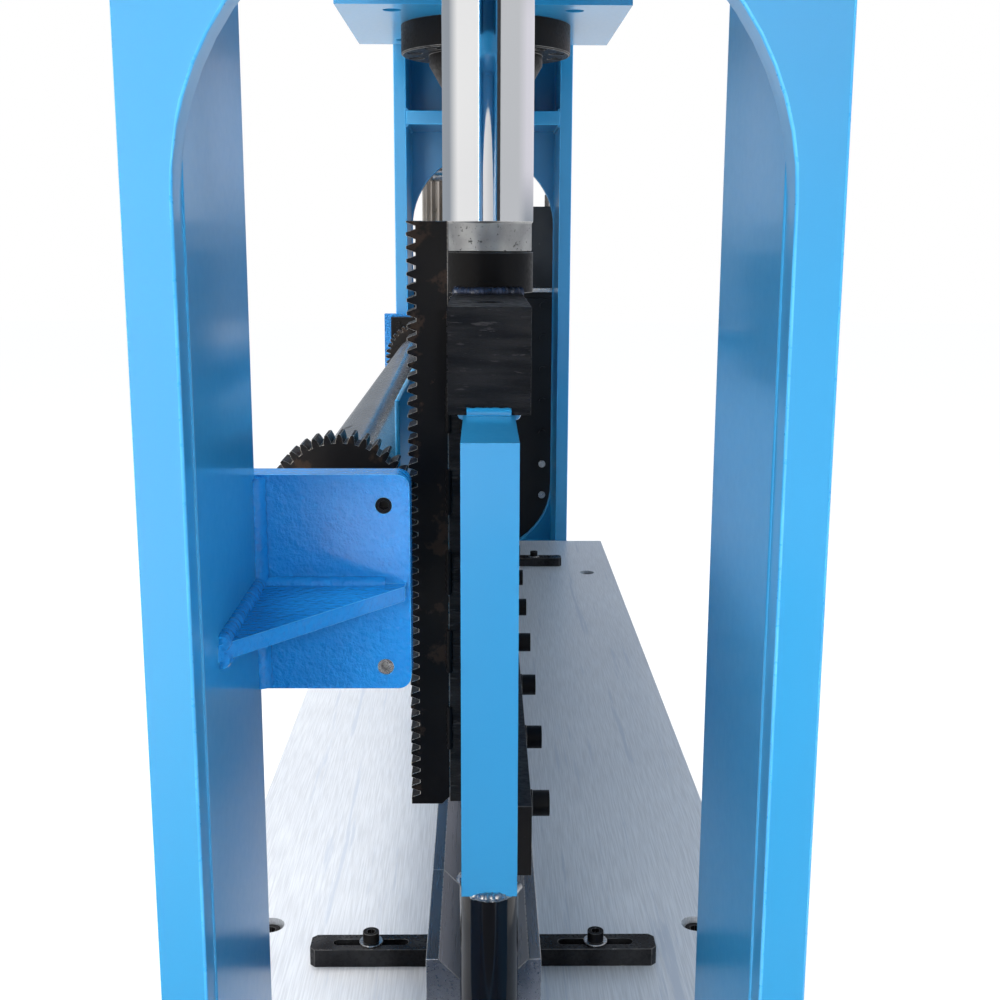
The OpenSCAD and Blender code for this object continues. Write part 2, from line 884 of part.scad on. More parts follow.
// Ram and what it carries
module ram() {
    bar_places = [for (i = [0 : bar_screws - 1]) (i - (bar_screws - 1) / 2) * bar_screw_pitch];
    tang_z = ram_z + tang_h + seat_gap;
    machine() color(blue) difference() {
        bar([-ram_len / 2, ram_len / 2], [ram_front, ram_rear], [ram_z, ram_top]);
        bar([-punch_half - 1, punch_half + 1], [ram_front - 1, ram_front + tang_t], [ram_z - 1, tang_z]);
        for (x = bar_places)
            rod_y(x, [ram_front - 1, ram_front + bar_screw_depth], bar_screw_z, bar_screw_r + run_fit);
    }
}

module coupling_blocks() {
    hole_x = 68;
    hole_r = 12;
    hole_depth = 30;
    machine() color(black) at_both_ends() difference() {
        bar([-block_x0, -block_x0 + block_len], [ram_y - block_w / 2, block_rear],
            [ram_top, block_top]);
        rod_z(-block_x0 + hole_x, ram_y, [block_top - hole_depth, block_top + 1], hole_r);
    }
}

module rod_collars() {
    machine() color(black) for (x = [-cyl_x, cyl_x])
        rod_z(x, ram_y, [block_top, collar_top], rod_r);
}

module piston_rods() {
    neck = 1.3;
    machine() color(steel) for (x = [-cyl_x, cyl_x])
        translate([x, ram_y, 0])
            rotate_extrude($fn = fine)
                polygon([[0, collar_top], [band_r - neck, collar_top], [band_r, collar_top + neck],
                    [band_r, collar_top + band_h - neck], [rod_r, collar_top + band_h],
                    [rod_r, piston_z], [0, piston_z]]);
}

module pistons() {
    machine() color(steel) for (x = [-cyl_x, cyl_x])
        rod_z(x, ram_y, [piston_z, piston_z + piston_h], bore_d / 2 - run_fit);
}

module guide_posts() {
    machine() color(steel) for (x = [-post_x, post_x])
        rod_z(x, ram_y, [table_z - post_below, ram_z], post_r);
}

module punch() {
    y0 = ram_front + seat_gap;
    y1 = ram_front + tang_t - seat_gap;
    shoulder = 14;
    half_tip = 43;
    flank = 10;
    machine() color(steel) along_x([-punch_half, punch_half])
        polygon([[y0, ram_z + tang_h], [y1, ram_z + tang_h], [y1, ram_z - seat_gap],
            [ram_y + 6, ram_z - seat_gap], [ram_y + 6, ram_z - shoulder],
            [flank * tan(half_tip), tip_z + flank], [0, tip_z],
            [-flank * tan(half_tip), tip_z + flank], [y0, ram_z - shoulder - 4]]);
}

module punch_clamp_bar() {
    machine() color(black) difference() {
        bar([-ram_len / 2, ram_len / 2], [ram_front - bar_t, ram_front],
            [ram_z + bar_up, ram_z + bar_up + bar_h]);
        for (i = [0 : bar_screws - 1])
            rod_y((i - (bar_screws - 1) / 2) * bar_screw_pitch, [ram_front - bar_t - 1, ram_front + 1],
                bar_screw_z, bar_screw_r + screw_fit);
    }
}

module punch_clamp_screws() {
    machine() color(black) for (i = [0 : bar_screws - 1])
        translate([(i - (bar_screws - 1) / 2) * bar_screw_pitch, ram_front - bar_t, bar_screw_z])
            rotate([90, 0, 0]) {
                translate([0, 0, bar_washer_t])
                    cap_screw(bar_screw_r, bar_screw_depth - 2 + bar_t + bar_washer_t, bar_head_r,
                        bar_head_h);
                difference() {
                    cylinder(h = bar_washer_t, r = bar_head_r + 0.5, $fn = 48);
                    translate([0, 0, -1])
                        cylinder(h = bar_washer_t + 2, r = bar_screw_r, $fn = 32);
                }
            }
}

// Cylinders
module barrels() {
    machine() color(blue) for (x = [-cyl_x, cyl_x]) difference() {
        union() {
            rod_z(x, ram_y, [plate_z, barrel_top], barrel_r);
            rod_z(x, ram_y, [barrel_flange_z, barrel_flange_z + barrel_flange_t], gland_d / 2);
        }
        rod_z(x, ram_y, [plate_z - 1, barrel_top + 1], bore_d / 2);
        for (i = [0 : gland_screws - 1])
            translate([x, ram_y, 0])
                rotate(360 * (i + 0.5) / gland_screws)
                    rod_z(gland_pitch_r, 0, [barrel_flange_z - 1, barrel_flange_z + 24],
                        gland_screw_r + run_fit);
    }
}

module gland_flanges() {
    nose_r = 84;
    nose_tip_r = 60;
    nose_h = 52;
    machine() color(black) for (x = [-cyl_x, cyl_x]) difference() {
        translate([x, ram_y, 0])
            rotate_extrude($fn = 96)
                polygon([[rod_r + run_fit, gland_z - nose_h], [nose_tip_r, gland_z - nose_h],
                    [nose_tip_r + 8, gland_z - nose_h + 10], [nose_r, gland_z - 14],
                    [nose_r, gland_z], [gland_d / 2 - 2, gland_z],
                    [gland_d / 2, gland_z + 2], [gland_d / 2, plate_z], [rod_r + run_fit, plate_z]]);
        for (i = [0 : gland_screws - 1])
            translate([x, ram_y, 0])
                rotate(360 * (i + 0.5) / gland_screws) {
                    rod_z(gland_pitch_r, 0, [gland_z - 1, plate_z + 1], gland_screw_r + screw_fit);
                    rod_z(gland_pitch_r, 0, [gland_z - 1, gland_z + gland_cbore_h], gland_screw_r + 4.5);
                }
    }
}

module gland_screws() {
    machine() color(black) for (x = [-cyl_x, cyl_x], i = [0 : gland_screws - 1])
        translate([x, ram_y, gland_z + gland_cbore_h])
            rotate(360 * (i + 0.5) / gland_screws)
                translate([gland_pitch_r, 0, 0])
                    mirror([0, 0, 1])
                        cap_screw(gland_screw_r, barrel_flange_z + 20 - gland_z - gland_cbore_h,
                            gland_screw_r + 3.5, gland_cbore_h - 1);
}

module cylinder_caps() {
    screws = 8;
    machine() color(blue) for (x = [-cyl_x, cyl_x]) union() {
        rod_z(x, ram_y, [barrel_top, barrel_top + cap_t], cap_r);
        for (i = [0 : screws - 1])
            translate([x, ram_y, barrel_top + cap_t - eps])
                rotate(360 * (i + 0.5) / screws)
                    translate([barrel_r + 4, 0, 0])
                        cylinder(h = 12, r = 9, $fn = 32);
        rod_z(x, ram_y, [barrel_top + cap_t - eps, barrel_top + cap_t + 8], 40);
    }
}

// A pipe of straight runs with round corners
module pipe(points) {
    for (i = [0 : len(points) - 2]) {
        a = points[i];
        b = points[i + 1];
        run = b - a;
        translate(a)
            rotate([0, acos(run[2] / norm(run)), atan2(run[1], run[0])])
                cylinder(h = norm(run), r = pipe_r, $fn = 24);
        if (i > 0)
            translate(a)
                sphere(r = pipe_r, $fn = 24);
    }
}

// The front pipe feeds the caps, the rear one the lower ends of the barrels
module oil_pipes() {
    cap_port = barrel_top + cap_t / 2;
    bend_z = manifold_z + manifold_h + 60;
    drop_x = manifold_x + 30;
    inner_drop_y = manifold_y + manifold_w - manifold_edge;
    cover_top = frame_top + crown_cover_t;
    clip_w = 16;
    clip_over = 4;
    machine() color(steel) {
        union() {
            pipe([[-cyl_x, ram_y - cap_r, cap_port], [-cyl_x, front_pipe_y, cap_port],
                [-cyl_x, front_pipe_y, pipe_z], [pipe_down_x, front_pipe_y, pipe_z],
                [pipe_down_x, front_pipe_y, bend_z], [drop_x, front_pipe_y, bend_z],
                [drop_x, front_pipe_y, manifold_z + manifold_h]]);
            pipe([[cyl_x, ram_y - cap_r, cap_port], [cyl_x, front_pipe_y, cap_port],
                [cyl_x, front_pipe_y, pipe_z]]);
            for (x = [0, half_clear])
                bar([x - clip_w / 2, x + clip_w / 2],
                    [front_pipe_y - pipe_r - clip_over, front_pipe_y + pipe_r + clip_over],
                    [cover_top, pipe_z + pipe_r + clip_over]);
        }
        union() {
            pipe([[-cyl_x, ram_y + barrel_r, rear_port_z], [-cyl_x, rear_pipe_y, rear_port_z],
                [-cyl_x, rear_pipe_y, pipe_z], [pipe_down_x, rear_pipe_y, pipe_z],
                [pipe_down_x, rear_pipe_y, bend_z], [drop_x, rear_pipe_y, bend_z],
                [drop_x, inner_drop_y, bend_z], [drop_x, inner_drop_y, manifold_z + manifold_h]]);
            pipe([[cyl_x, ram_y + barrel_r, rear_port_z], [cyl_x, rear_pipe_y, rear_port_z],
                [cyl_x, rear_pipe_y, pipe_z]]);
            for (x = [0, half_clear])
                bar([x - clip_w / 2, x + clip_w / 2],
                    [rear_pipe_y - pipe_r - clip_over, rear_pipe_y + pipe_r + clip_over],
                    [cover_top, pipe_z + pipe_r + clip_over]);
        }
    }
}

// Power unit on a shelf outside the far end frame
module oil_tank() {
    x = [tank_x, tank_x + tank_len];
    y = [-tank_w / 2, tank_w / 2];
    wall = 6;
    arm_t = 16;
    arm_h = 150;
    arm_tip_h = 40;
    machine() color(black) union() {
        difference() {
            bar(x, y, [tank_z, tank_top]);
            bar([x[0] + wall, x[1] - wall], [y[0] + wall, y[1] - wall], [tank_z + wall, tank_top + 1]);
        }
        for (arm_y = [-inner_y, inner_y - arm_t])
            translate([0, arm_y + arm_t, 0])
                rotate([90, 0, 0])
                    linear_extrude(height = arm_t)
                        polygon([[half_len, tank_z - arm_h], [half_len, tank_z + eps],
                            [x[1], tank_z + eps], [x[1], tank_z - arm_tip_h]]);
    }
}

module tank_cover() {
    cover_t = 10;
    cover_w = tank_w - 20;
    margin = 14;
    z = [tank_z + 50, tank_top - 12];
    rows = 8;
    screw_y = cover_w / 2 - margin;
    step = (z[1] - z[0] - 2 * margin) / (rows - 1);
    machine() color(black) union() {
        bar([tank_x - cover_t, tank_x], [-cover_w / 2, cover_w / 2], z);
        for (i = [0 : rows - 1], y = [-screw_y, screw_y])
            rod_x([tank_x - cover_t - 6, tank_x - cover_t + eps], y, z[0] + margin + i * step, 7);
    }
}

module tank_fittings() {
    x = [tank_x - lid_over, tank_x + tank_len + lid_over];
    y = [-tank_w / 2 - lid_over, tank_w / 2 + lid_over];
    glass_x = tank_x + tank_len / 2;
    glass_y = [-tank_w / 2 - 14, -tank_w / 2];
    glass_h = 140;
    glass_top = tank_top - 60;
    filler_in = 70;
    filler_x = tank_x + filler_in;
    filler_y = tank_w / 2 - 40;
    neck_z = lid_z + lid_t + 30;
    machine() color(steel) union() {
        bar(x, y, [lid_z, lid_z + lid_t]);
        rod_z(filler_x, filler_y, [lid_z + lid_t - eps, neck_z], 28);
        rod_z(filler_x, filler_y, [neck_z - eps, neck_z + 22], 36);
        bar([glass_x - 14, glass_x + 14], glass_y, [glass_top - glass_h, glass_top]);
    }
}

module pump_motor() {
    fins = 28;
    fin_h = 9;
    fin_w = 3;
    core_r = motor_d / 2 - fin_h;
    box_low = 80;
    box_reach = 28;
    terminal_h = 90;
    machine() color(black) translate([motor_x, motor_y, 0]) difference() {
        union() {
            rod_z(0, 0, [motor_z - bell_h, motor_z - bell_h + 12], core_r - 4);
            rod_z(0, 0, [motor_z - bell_h, motor_z], core_r - 22);
            rod_z(0, 0, [motor_z - 14, motor_z], core_r + 4);
            rod_z(0, 0, [motor_z - eps, motor_top], core_r);
            for (i = [0 : fins - 1])
                rotate(360 * i / fins)
                    bar([core_r - 2, motor_d / 2], [-fin_w / 2, fin_w / 2], [motor_z + 8, motor_top - 8]);
            bar([-core_r - box_reach, -core_r + 12], [-45, 45],
                [motor_z + box_low, motor_z + box_low + terminal_h]);
            rod_z(0, 0, [motor_top - eps, motor_top + fan_cover_h], motor_d / 2 - 2);
        }
        rod_z(0, 0, [motor_top + 2, motor_top + fan_cover_h - 3], motor_d / 2 - 5);
        for (ring = [1 : 3], i = [0 : 8 * ring - 1])
            rotate(360 * i / (8 * ring))
                rod_z(24 * ring, 0, [motor_top + fan_cover_h - 4, motor_top + fan_cover_h + 1], 6);
        rod_z(0, 0, [motor_top - 30, motor_top + 3], 8 + run_fit);
    }
}

module motor_fan() {
    blades = 6;
    hub_z = motor_top + 12;
    hub_h = 30;
    blade_h = 32;
    machine() color(black) translate([motor_x, motor_y, 0]) union() {
        rod_z(0, 0, [motor_top - 29, hub_z + hub_h], 8);
        rod_z(0, 0, [hub_z, hub_z + hub_h], 20);
        rod_z(0, 0, [hub_z, hub_z + 4], motor_d / 2 - 14);
        for (i = [0 : blades - 1])
            rotate(360 * i / blades)
                bar([18, motor_d / 2 - 16], [-1.5, 1.5], [hub_z + 2, hub_z + 2 + blade_h]);
    }
}

module valve_manifold() {
    x = [manifold_x, manifold_x + manifold_len];
    y = [manifold_y, manifold_y + manifold_w];
    z = [manifold_z, manifold_z + manifold_h];
    valve_low = 40;
    valve_step = 70;
    coil_r = 23;
    coil_end = 96;
    spool = 44;
    gauge_r = 31;
    gauge_x = x[0] + 76;
    gauge_y = y[0] + 11;
    gauge_z = z[1] + 52;
    machine() color(steel) union() {
        bar(x, y, z);
        for (vz = [z[0] + valve_low, z[0] + valve_low + valve_step]) {
            bar([x[0] + 22, x[1] - 22], [y[1] - eps, y[1] + 34], [vz - spool / 2, vz + spool / 2]);
            rod_y((x[0] + x[1]) / 2, [y[1] + 34 - eps, y[1] + coil_end], vz, coil_r);
        }
        rod_z(gauge_x, gauge_y, [z[1] - eps, gauge_z], 7);
        rod_y(gauge_x, [gauge_y - 11, gauge_y + 11], gauge_z, gauge_r);
    }
}

// Control box on the near end frame, faced to the operator
box_mid = box_x + box_w / 2;
stop_z = box_z + box_h - 45;
button_z = box_z + box_h - 110;
switch_z = box_z + 50;
button_dx = 32;

module control_box() {
    face = [box_y - 1, box_y + 8];
    machine() color([0.75, 0.76, 0.77]) difference() {
        union() {
            bar([box_x, box_x + box_w], [box_y, -frame_w / 2], [box_z, box_z + box_h]);
            for (x = [box_mid - button_dx, box_mid + button_dx])
                rod_y(x, [box_y - 5, box_y + eps], button_z, button_d / 2 + 4);
            rod_y(box_mid, [box_y - 5, box_y + eps], stop_z, stop_d / 2 - 4);
            rod_y(box_mid, [box_y - 5, box_y + eps], switch_z, 15);
        }
        for (x = [box_mid - button_dx, box_mid + button_dx])
            rod_y(x, [box_y - 6, box_y + 12], button_z, button_d / 2 + run_fit);
        rod_y(box_mid, [box_y - 6, box_y + 24], stop_z, 10 + run_fit);
        rod_y(box_mid, [box_y - 6, face[1]], switch_z, 9 + run_fit);
    }
}

module stop_button() {
    machine() color("red") union() {
        rod_y(box_mid, [box_y - 16, box_y + 10], stop_z, 10);
        rod_y(box_mid, [box_y - stop_h - button_travel, box_y - 5 - button_travel - 1], stop_z, stop_d / 2);
    }
}

module push_button(x) {
    rod_y(x, [box_y - 5 - button_travel - 1, box_y + 12 - button_travel - 1], button_z, button_d / 2);
}

module up_button() {
    machine() color("white") push_button(box_mid - button_dx);
}

module down_button() {
    machine() color("green") push_button(box_mid + button_dx);
}

module mode_switch() {
    machine() color(black) union() {
        rod_y(box_mid, [box_y - 12, box_y + 7], switch_z, 9);
        rod_y(box_mid, [box_y - 13, box_y - 5 - 1], switch_z, 14);
        bar([box_mid - 3.5, box_mid + 3.5], [box_y - 24, box_y - 12], [switch_z - 13, switch_z + 13]);
    }
}

near_frame_web();
near_front_flange();
near_rear_flange();
near_frame_shelves();
far_frame_web();
far_front_flange();
far_rear_flange();
far_frame_shelves();
foot_plates();
crown_front_plate();
crown_rear_plate();
crown_cover();
lifting_eyes();
cylinder_plates();
bed_front_plate();
bed_rear_plate();
bed_floor_and_ribs();
table();
table_screws();
v_die();
near_front_clamp();
near_rear_clamp();
far_front_clamp();
far_rear_clamp();
clamp_screws();
clamp_washers();
guide_bushes();
bearing_brackets();
bearing_blocks();
bracket_screws();
shaft_guard();
barrels();
gland_flanges();
gland_screws();
cylinder_caps();
oil_pipes();
ram();
coupling_blocks();
rod_collars();
piston_rods();
pistons();
racks();
rack_spacers();
guide_posts();
punch();
punch_clamp_bar();
punch_clamp_screws();
torsion_shaft();
pinions();
oil_tank();
tank_cover();
tank_fittings();
pump_motor();
motor_fan();
valve_manifold();
control_box();
stop_button();
up_button();
down_button();
mode_switch();
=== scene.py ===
# %% [markdown]
# # A hydraulic press brake, dressed for the camera
# A press brake bends sheet metal: two cylinders push a ram down, and the punch under it presses
# the sheet into a die with a V-shaped groove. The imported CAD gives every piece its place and
# size, and nothing here moves or resizes it. This notebook adds what the CAD doesn't hold: a
# camera and lights, finishes, rounded edges, weld beads, bent oil pipes and small fittings.
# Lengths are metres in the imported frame. +X runs along the bend, -Y faces the operator, +Z is up.

# %% The CAD frame
import json
import math

import bmesh
import bpy
from mathutils import Matrix, Vector, noise


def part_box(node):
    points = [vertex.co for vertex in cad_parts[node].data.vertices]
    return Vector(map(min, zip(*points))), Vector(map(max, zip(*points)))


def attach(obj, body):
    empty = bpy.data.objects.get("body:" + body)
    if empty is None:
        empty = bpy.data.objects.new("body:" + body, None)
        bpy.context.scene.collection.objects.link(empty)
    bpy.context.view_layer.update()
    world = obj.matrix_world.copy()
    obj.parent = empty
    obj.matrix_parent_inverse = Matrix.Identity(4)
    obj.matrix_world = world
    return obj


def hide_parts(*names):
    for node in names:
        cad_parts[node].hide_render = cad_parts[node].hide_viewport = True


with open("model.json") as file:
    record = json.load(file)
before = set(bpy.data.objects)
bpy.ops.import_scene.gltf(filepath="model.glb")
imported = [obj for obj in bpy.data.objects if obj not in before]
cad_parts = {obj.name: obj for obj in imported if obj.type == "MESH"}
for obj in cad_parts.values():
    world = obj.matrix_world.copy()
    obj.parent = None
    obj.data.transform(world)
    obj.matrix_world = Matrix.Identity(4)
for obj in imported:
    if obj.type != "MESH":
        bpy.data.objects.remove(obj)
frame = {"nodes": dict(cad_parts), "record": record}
nodes = frame["nodes"]
node_body = {n: b for b, members in frame["record"]["behaviour"]["bodies"].items() for n in members}
node_slot = {p["node"]: p["material_slot"] for p in frame["record"]["subparts"]}
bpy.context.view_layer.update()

# %% [markdown]
# ## Camera
# The picture is taken from the end of the machine, through the window of the near end frame. A
# camera can be placed by eye, but so close to the machine a few millimetres show. So its place,
# its turn and its lens were worked out from edges whose real course is known: the table's sides,
# which run away to one vanishing point, and the widths of the near and the far frame.

# %% Camera
camera_place = (-1.7941, 0.0186, 1.3915)
camera_heading = -90.784
camera_tilt = 78.673
camera_roll = 0.186
lens_mm = 47.58
sensor_mm = 36

bpy.ops.object.camera_add(location=camera_place)
camera = bpy.context.object
camera.name = "camera"
heading = Matrix.Rotation(math.radians(camera_heading), 3, "Z")
tilt = Matrix.Rotation(math.radians(camera_tilt), 3, "X")
roll = Matrix.Rotation(math.radians(camera_roll), 3, "Z")
camera.rotation_euler = (heading @ tilt @ roll).to_euler()
camera.data.sensor_width = sensor_mm
camera.data.lens = lens_mm
camera.data.clip_start = 0.05
scene = bpy.context.scene
scene.camera = camera
scene.view_settings.view_transform = "Standard"
print("camera at", camera_place, "with a lens of", lens_mm, "mm")

# %% [markdown]
# ## Helpers for node trees
# The world, the floor and every finish are node trees. They could be wired one link at a time,
# which takes many lines and hides the idea. Four small helpers keep the trees readable: one makes
# a node with its inputs, one takes the higher of two values, one stretches a range of values to
# another range, and one mixes two colours.


# %% Node helpers
def tree_node(tree, kind, inputs=None, **settings):
    made = tree.nodes.new(kind)
    for key, value in settings.items():
        setattr(made, key, value)
    for key, value in (inputs or {}).items():
        if isinstance(value, bpy.types.NodeSocket):
            tree.links.new(value, made.inputs[key])
        else:
            made.inputs[key].default_value = value
    return made


def highest(tree, first, second):
    return tree_node(tree, "ShaderNodeMath", {0: first, 1: second}, operation="MAXIMUM").outputs[0]


def band(tree, value, low, high, out_low=0.0, out_high=1.0):
    made = tree_node(tree, "ShaderNodeMapRange", {"Value": value, "From Min": low, "From Max": high,
                                                  "To Min": out_low, "To Max": out_high})
    return made.outputs[0]


def mix_color(tree, share, first, second):
    made = tree.nodes.new("ShaderNodeMix")
    made.data_type = "RGBA"
    for index, value in ((0, share), (6, first), (7, second)):
        if isinstance(value, bpy.types.NodeSocket):
            tree.links.new(value, made.inputs[index])
        else:
            made.inputs[index].default_value = value if index == 0 else (*value, 1)
    return made.outputs[2]


print("node helpers ready")

# %% [markdown]
# ## White for the camera only
# A studio picture has a white background, but a white world would also wash all colour out of
# the machine. So a mix shader asks what kind of ray arrives. Rays from the camera, and rays that
# came through glass, see plain white. The others see the light that the shader was given. With
# mirrors on, polished metal sees the white too. A share below one lets some of the real surface
# through, which keeps the machine's shadow on the floor.


# %% White where the camera looks
def white_to_camera(tree, lit, strength, share, mirrors):
    path = tree_node(tree, "ShaderNodeLightPath")
    seen = highest(tree, path.outputs["Is Camera Ray"], path.outputs["Is Transmission Ray"])
    if mirrors:
        seen = highest(tree, seen, path.outputs["Is Glossy Ray"])
    seen = tree_node(tree, "ShaderNodeMath", {0: seen, 1: share}, operation="MULTIPLY")
    white = tree_node(tree, "ShaderNodeEmission", {"Color": (1, 1, 1, 1), "Strength": strength})
    return tree_node(tree, "ShaderNodeMixShader", {0: seen.outputs[0], 1: lit, 2: white.outputs[0]})


print("camera white ready")

# %% [markdown]
# ## The room that the chrome mirrors
# Hard chrome has hardly a colour of its own: it shows what stands around it. A photograph of a
# workshop could be wrapped round the scene, but that needs a file. Here the direction of the
# mirrored ray paints a plain room instead: grey ahead with a low pale wall on the operator's side,
# lighter behind the camera, and a blue-grey ceiling. The soft light that fills the shadows is a
# second background, so that it can be set apart from the reflections.

# %% World
room_ahead = (0.33, 0.36, 0.40)
room_wall = (0.78, 0.76, 0.82)
room_behind_front = (0.60, 0.61, 0.63)
room_behind_rear = (0.94, 0.93, 0.92)
room_ceiling = (0.42, 0.46, 0.54)
fill_color = (0.60, 0.68, 0.80, 1)
fill_strength = 0.55

world = bpy.data.worlds.new("studio")
scene.world = world
world.use_nodes = True
tree = world.node_tree
tree.nodes.clear()
way = tree_node(tree, "ShaderNodeTexCoord").outputs["Generated"]
way_x, way_y, way_z = tree_node(tree, "ShaderNodeSeparateXYZ", {0: way}).outputs
behind = band(tree, way_x, 0.40, -0.15)
to_rear = band(tree, way_y, -0.25, 0.25)
to_front = band(tree, way_y, 0.10, -0.06)
over_floor = band(tree, way_z, 0.010, 0.045)
under_top = band(tree, way_z, 0.28, 0.15)
overhead = band(tree, way_z, 0.50, 0.68)
wall_height = tree_node(tree, "ShaderNodeMath", {0: over_floor, 1: under_top}, operation="MULTIPLY")
wall_share = tree_node(tree, "ShaderNodeMath", {0: wall_height.outputs[0], 1: to_front},
                       operation="MULTIPLY")
ahead = mix_color(tree, wall_share.outputs[0], room_ahead, room_wall)
back = mix_color(tree, to_rear, room_behind_front, room_behind_rear)
room = mix_color(tree, overhead, mix_color(tree, behind, ahead, back), room_ceiling)
mirrored_room = tree_node(tree, "ShaderNodeBackground", {"Color": room, "Strength": 1.0})
soft_fill = tree_node(tree, "ShaderNodeBackground", {"Color": fill_color, "Strength": fill_strength})
is_glossy = tree_node(tree, "ShaderNodeLightPath").outputs["Is Glossy Ray"]
lit = tree_node(tree, "ShaderNodeMixShader",
                {0: is_glossy, 1: soft_fill.outputs[0], 2: mirrored_room.outputs[0]})
shown = white_to_camera(tree, lit.outputs[0], 1.0, 1.0, mirrors=False)
tree_node(tree, "ShaderNodeOutputWorld", {"Surface": shown.outputs[0]})
print("world nodes:", len(tree.nodes))

# %% [markdown]
# ## Floor
# A machine that stands on nothing looks cut out. A shadow catcher would do too, but its picture
# must then be laid over a white one. A large pale plane a hair below the feet, white for the camera
# and still a dull surface for the lamps, shows the shadow and melts into the white behind it.

# %% Floor
floor_size = 40
floor_drop = 0.0005
floor_white = 1.11
floor_share = 0.86

bpy.ops.mesh.primitive_plane_add(size=floor_size, location=(0, 0, -floor_drop))
floor = bpy.context.object
floor.name = "floor"
floor_paint = bpy.data.materials.new("floor_paint")
floor_paint.use_nodes = True
tree = floor_paint.node_tree
tree.nodes.clear()
dull = tree_node(tree, "ShaderNodeBsdfDiffuse", {"Color": (0.80, 0.81, 0.82, 1)})
shown = white_to_camera(tree, dull.outputs[0], floor_white, floor_share, mirrors=True)
tree_node(tree, "ShaderNodeOutputMaterial", {"Surface": shown.outputs[0]})
floor.data.materials.append(floor_paint)
print("floor of", floor_size, "m")

# %% [markdown]
# ## Lamps
# The machine stands in soft daylight. One small lamp would give hard, black shadows, so large
# panels light it from the camera's side, from above and from all round. A panel that isn't
# mirrored gives light but no white patch in the paint. Two small panels light only the bearing
# bracket, which stands in the shade of the frame. The table gets its strong light from a high
# panel, which strikes the flat top fully and the upright plates only at a slant. Each line gives
# a lamp's place, the point that it aims at, its size in metres and its power in watts.


# %% Lamp maker
def panel(name, place, aim, size, power, color=(1, 1, 1), mirrored=False, spread=180):
    bpy.ops.object.light_add(type="AREA", location=place)
    lamp = bpy.context.object
    lamp.name = name
    lamp.data.shape = "RECTANGLE"
    lamp.data.size, lamp.data.size_y = size
    lamp.data.energy = power
    lamp.data.color = color
    lamp.data.spread = math.radians(spread)
    lamp.rotation_euler = (Vector(aim) - Vector(place)).to_track_quat("-Z", "Y").to_euler()
    lamp.visible_camera = False
    lamp.visible_glossy = mirrored


print("lamp maker ready")

# %% Lamps
panel("key_panel", (-3.4, 1.3, 2.9), (-1.0, 0, 1.3), (2.2, 1.8), 46)
panel("left_strip", (-3.7, 1.00, 1.3), (-1.2, 0.1, 1.3), (0.6, 2.8), 48, mirrored=True)
panel("table_panel", (0.3, 1.2, 5.2), (0.0, 0.12, 0.82), (3.4, 1.2), 405, (1.0, 0.95, 0.90))
panel("bracket_panel", (-3.2, -0.60, 2.0), (-1.0, 0.12, 1.20), (0.5, 0.5), 0.80, spread=26)
panel("low_panel", (-3.2, 0.27, 0.72), (-0.84, 0.08, 1.22), (0.20, 0.20), 0.55, mirrored=True)
panel("rear_panel", (0.6, 3.4, 1.9), (0.2, 0, 1.0), (4.5, 2.4), 70)
panel("front_panel", (-0.4, -3.6, 2.2), (-0.4, 0, 1.1), (4.0, 1.6), 88, (0.62, 0.82, 1.0))
panel("top_panel", (0.2, 0, 4.4), (0.2, 0, 0), (4.0, 2.0), 50)
panel("end_panel", (4.6, 0.5, 1.6), (0, 0, 1.0), (1.6, 1.4), 60)
panel("far_window", (3.0, 0.75, 2.4), (-1.1, 0.1, 1.18), (0.55, 0.40), 6)

# %% [markdown]
# ## Dark cards
# Gloss paint and chrome look flat when all that they mirror is pale. A photographer holds black
# cards beside the set, and the same works here. Two tall cards give the rods their dark
# streaks. A low one and one on the floor take the white of the floor out of the upright plates,
# so that their blue grows deeper towards the foot. The cards are hidden from the camera, throw no
# shadow and take nothing from the soft light.

# %% Dark cards
card_black = bpy.data.materials.new("card_black")
card_black.use_nodes = True
card_black.node_tree.nodes["Principled BSDF"].inputs["Base Color"].default_value = (0.01, 0.01, 0.012, 1)
machine_middle = (0, 0, 1.2)


def dark_card(name, place, size, aim=machine_middle):
    bpy.ops.mesh.primitive_plane_add(size=1, location=place)
    card = bpy.context.object
    card.name = name
    card.scale = (size[0], size[1], 1)
    card.rotation_euler = (Vector(aim) - Vector(place)).to_track_quat("Z", "Y").to_euler()
    card.visible_camera = False
    card.visible_shadow = False
    card.visible_diffuse = False
    card.data.materials.append(card_black)


dark_card("left_card", (-3.2, 0.75, 1.8), (0.35, 2.4))
dark_card("right_card", (-3.0, -1.15, 1.8), (0.45, 2.4))
dark_card("low_card", (-3.1, 0.1, 0.27), (1.6, 0.95))
dark_card("floor_card", (-2.2, 0.1, 0.01), (1.6, 1.6), aim=(-2.2, 0.1, 2.0))

# %% [markdown]
# ## One builder for every finish
# Paint, chrome and mill scale differ in numbers more than in kind, so one builder makes them all.
# A broad noise drifts between two colours. A fine grain gives the bumps and, within the given
# range, the gloss. With streaks, the grain darkens the colour too, as grinding marks do. With
# wear, a third noise lays patches of another colour. A photograph of each surface could be
# laid on instead, but it would stretch on these long plates. All noises count in the piece's own
# space, and a stretch below one along an axis draws the grain out along it.


# %% Noise in the piece's own space
def noise_at(tree, coords, scale, stretch=(1, 1, 1), detail=4.0, rough=0.55):
    placed = tree_node(tree, "ShaderNodeMapping", {"Vector": coords, "Scale": stretch})
    made = tree_node(tree, "ShaderNodeTexNoise", {"Vector": placed.outputs[0], "Scale": scale,
                                                  "Detail": detail, "Roughness": rough})
    return made.outputs[0]


print("noise ready")

# %% Finish builder
drift_range = (0.35, 0.65)
grain_range = (0.3, 0.7)
streak_range = (0.62, 0.38)
streak_color = (0.10, 0.11, 0.13)
wear_border = 0.05
coat_rough = 0.12


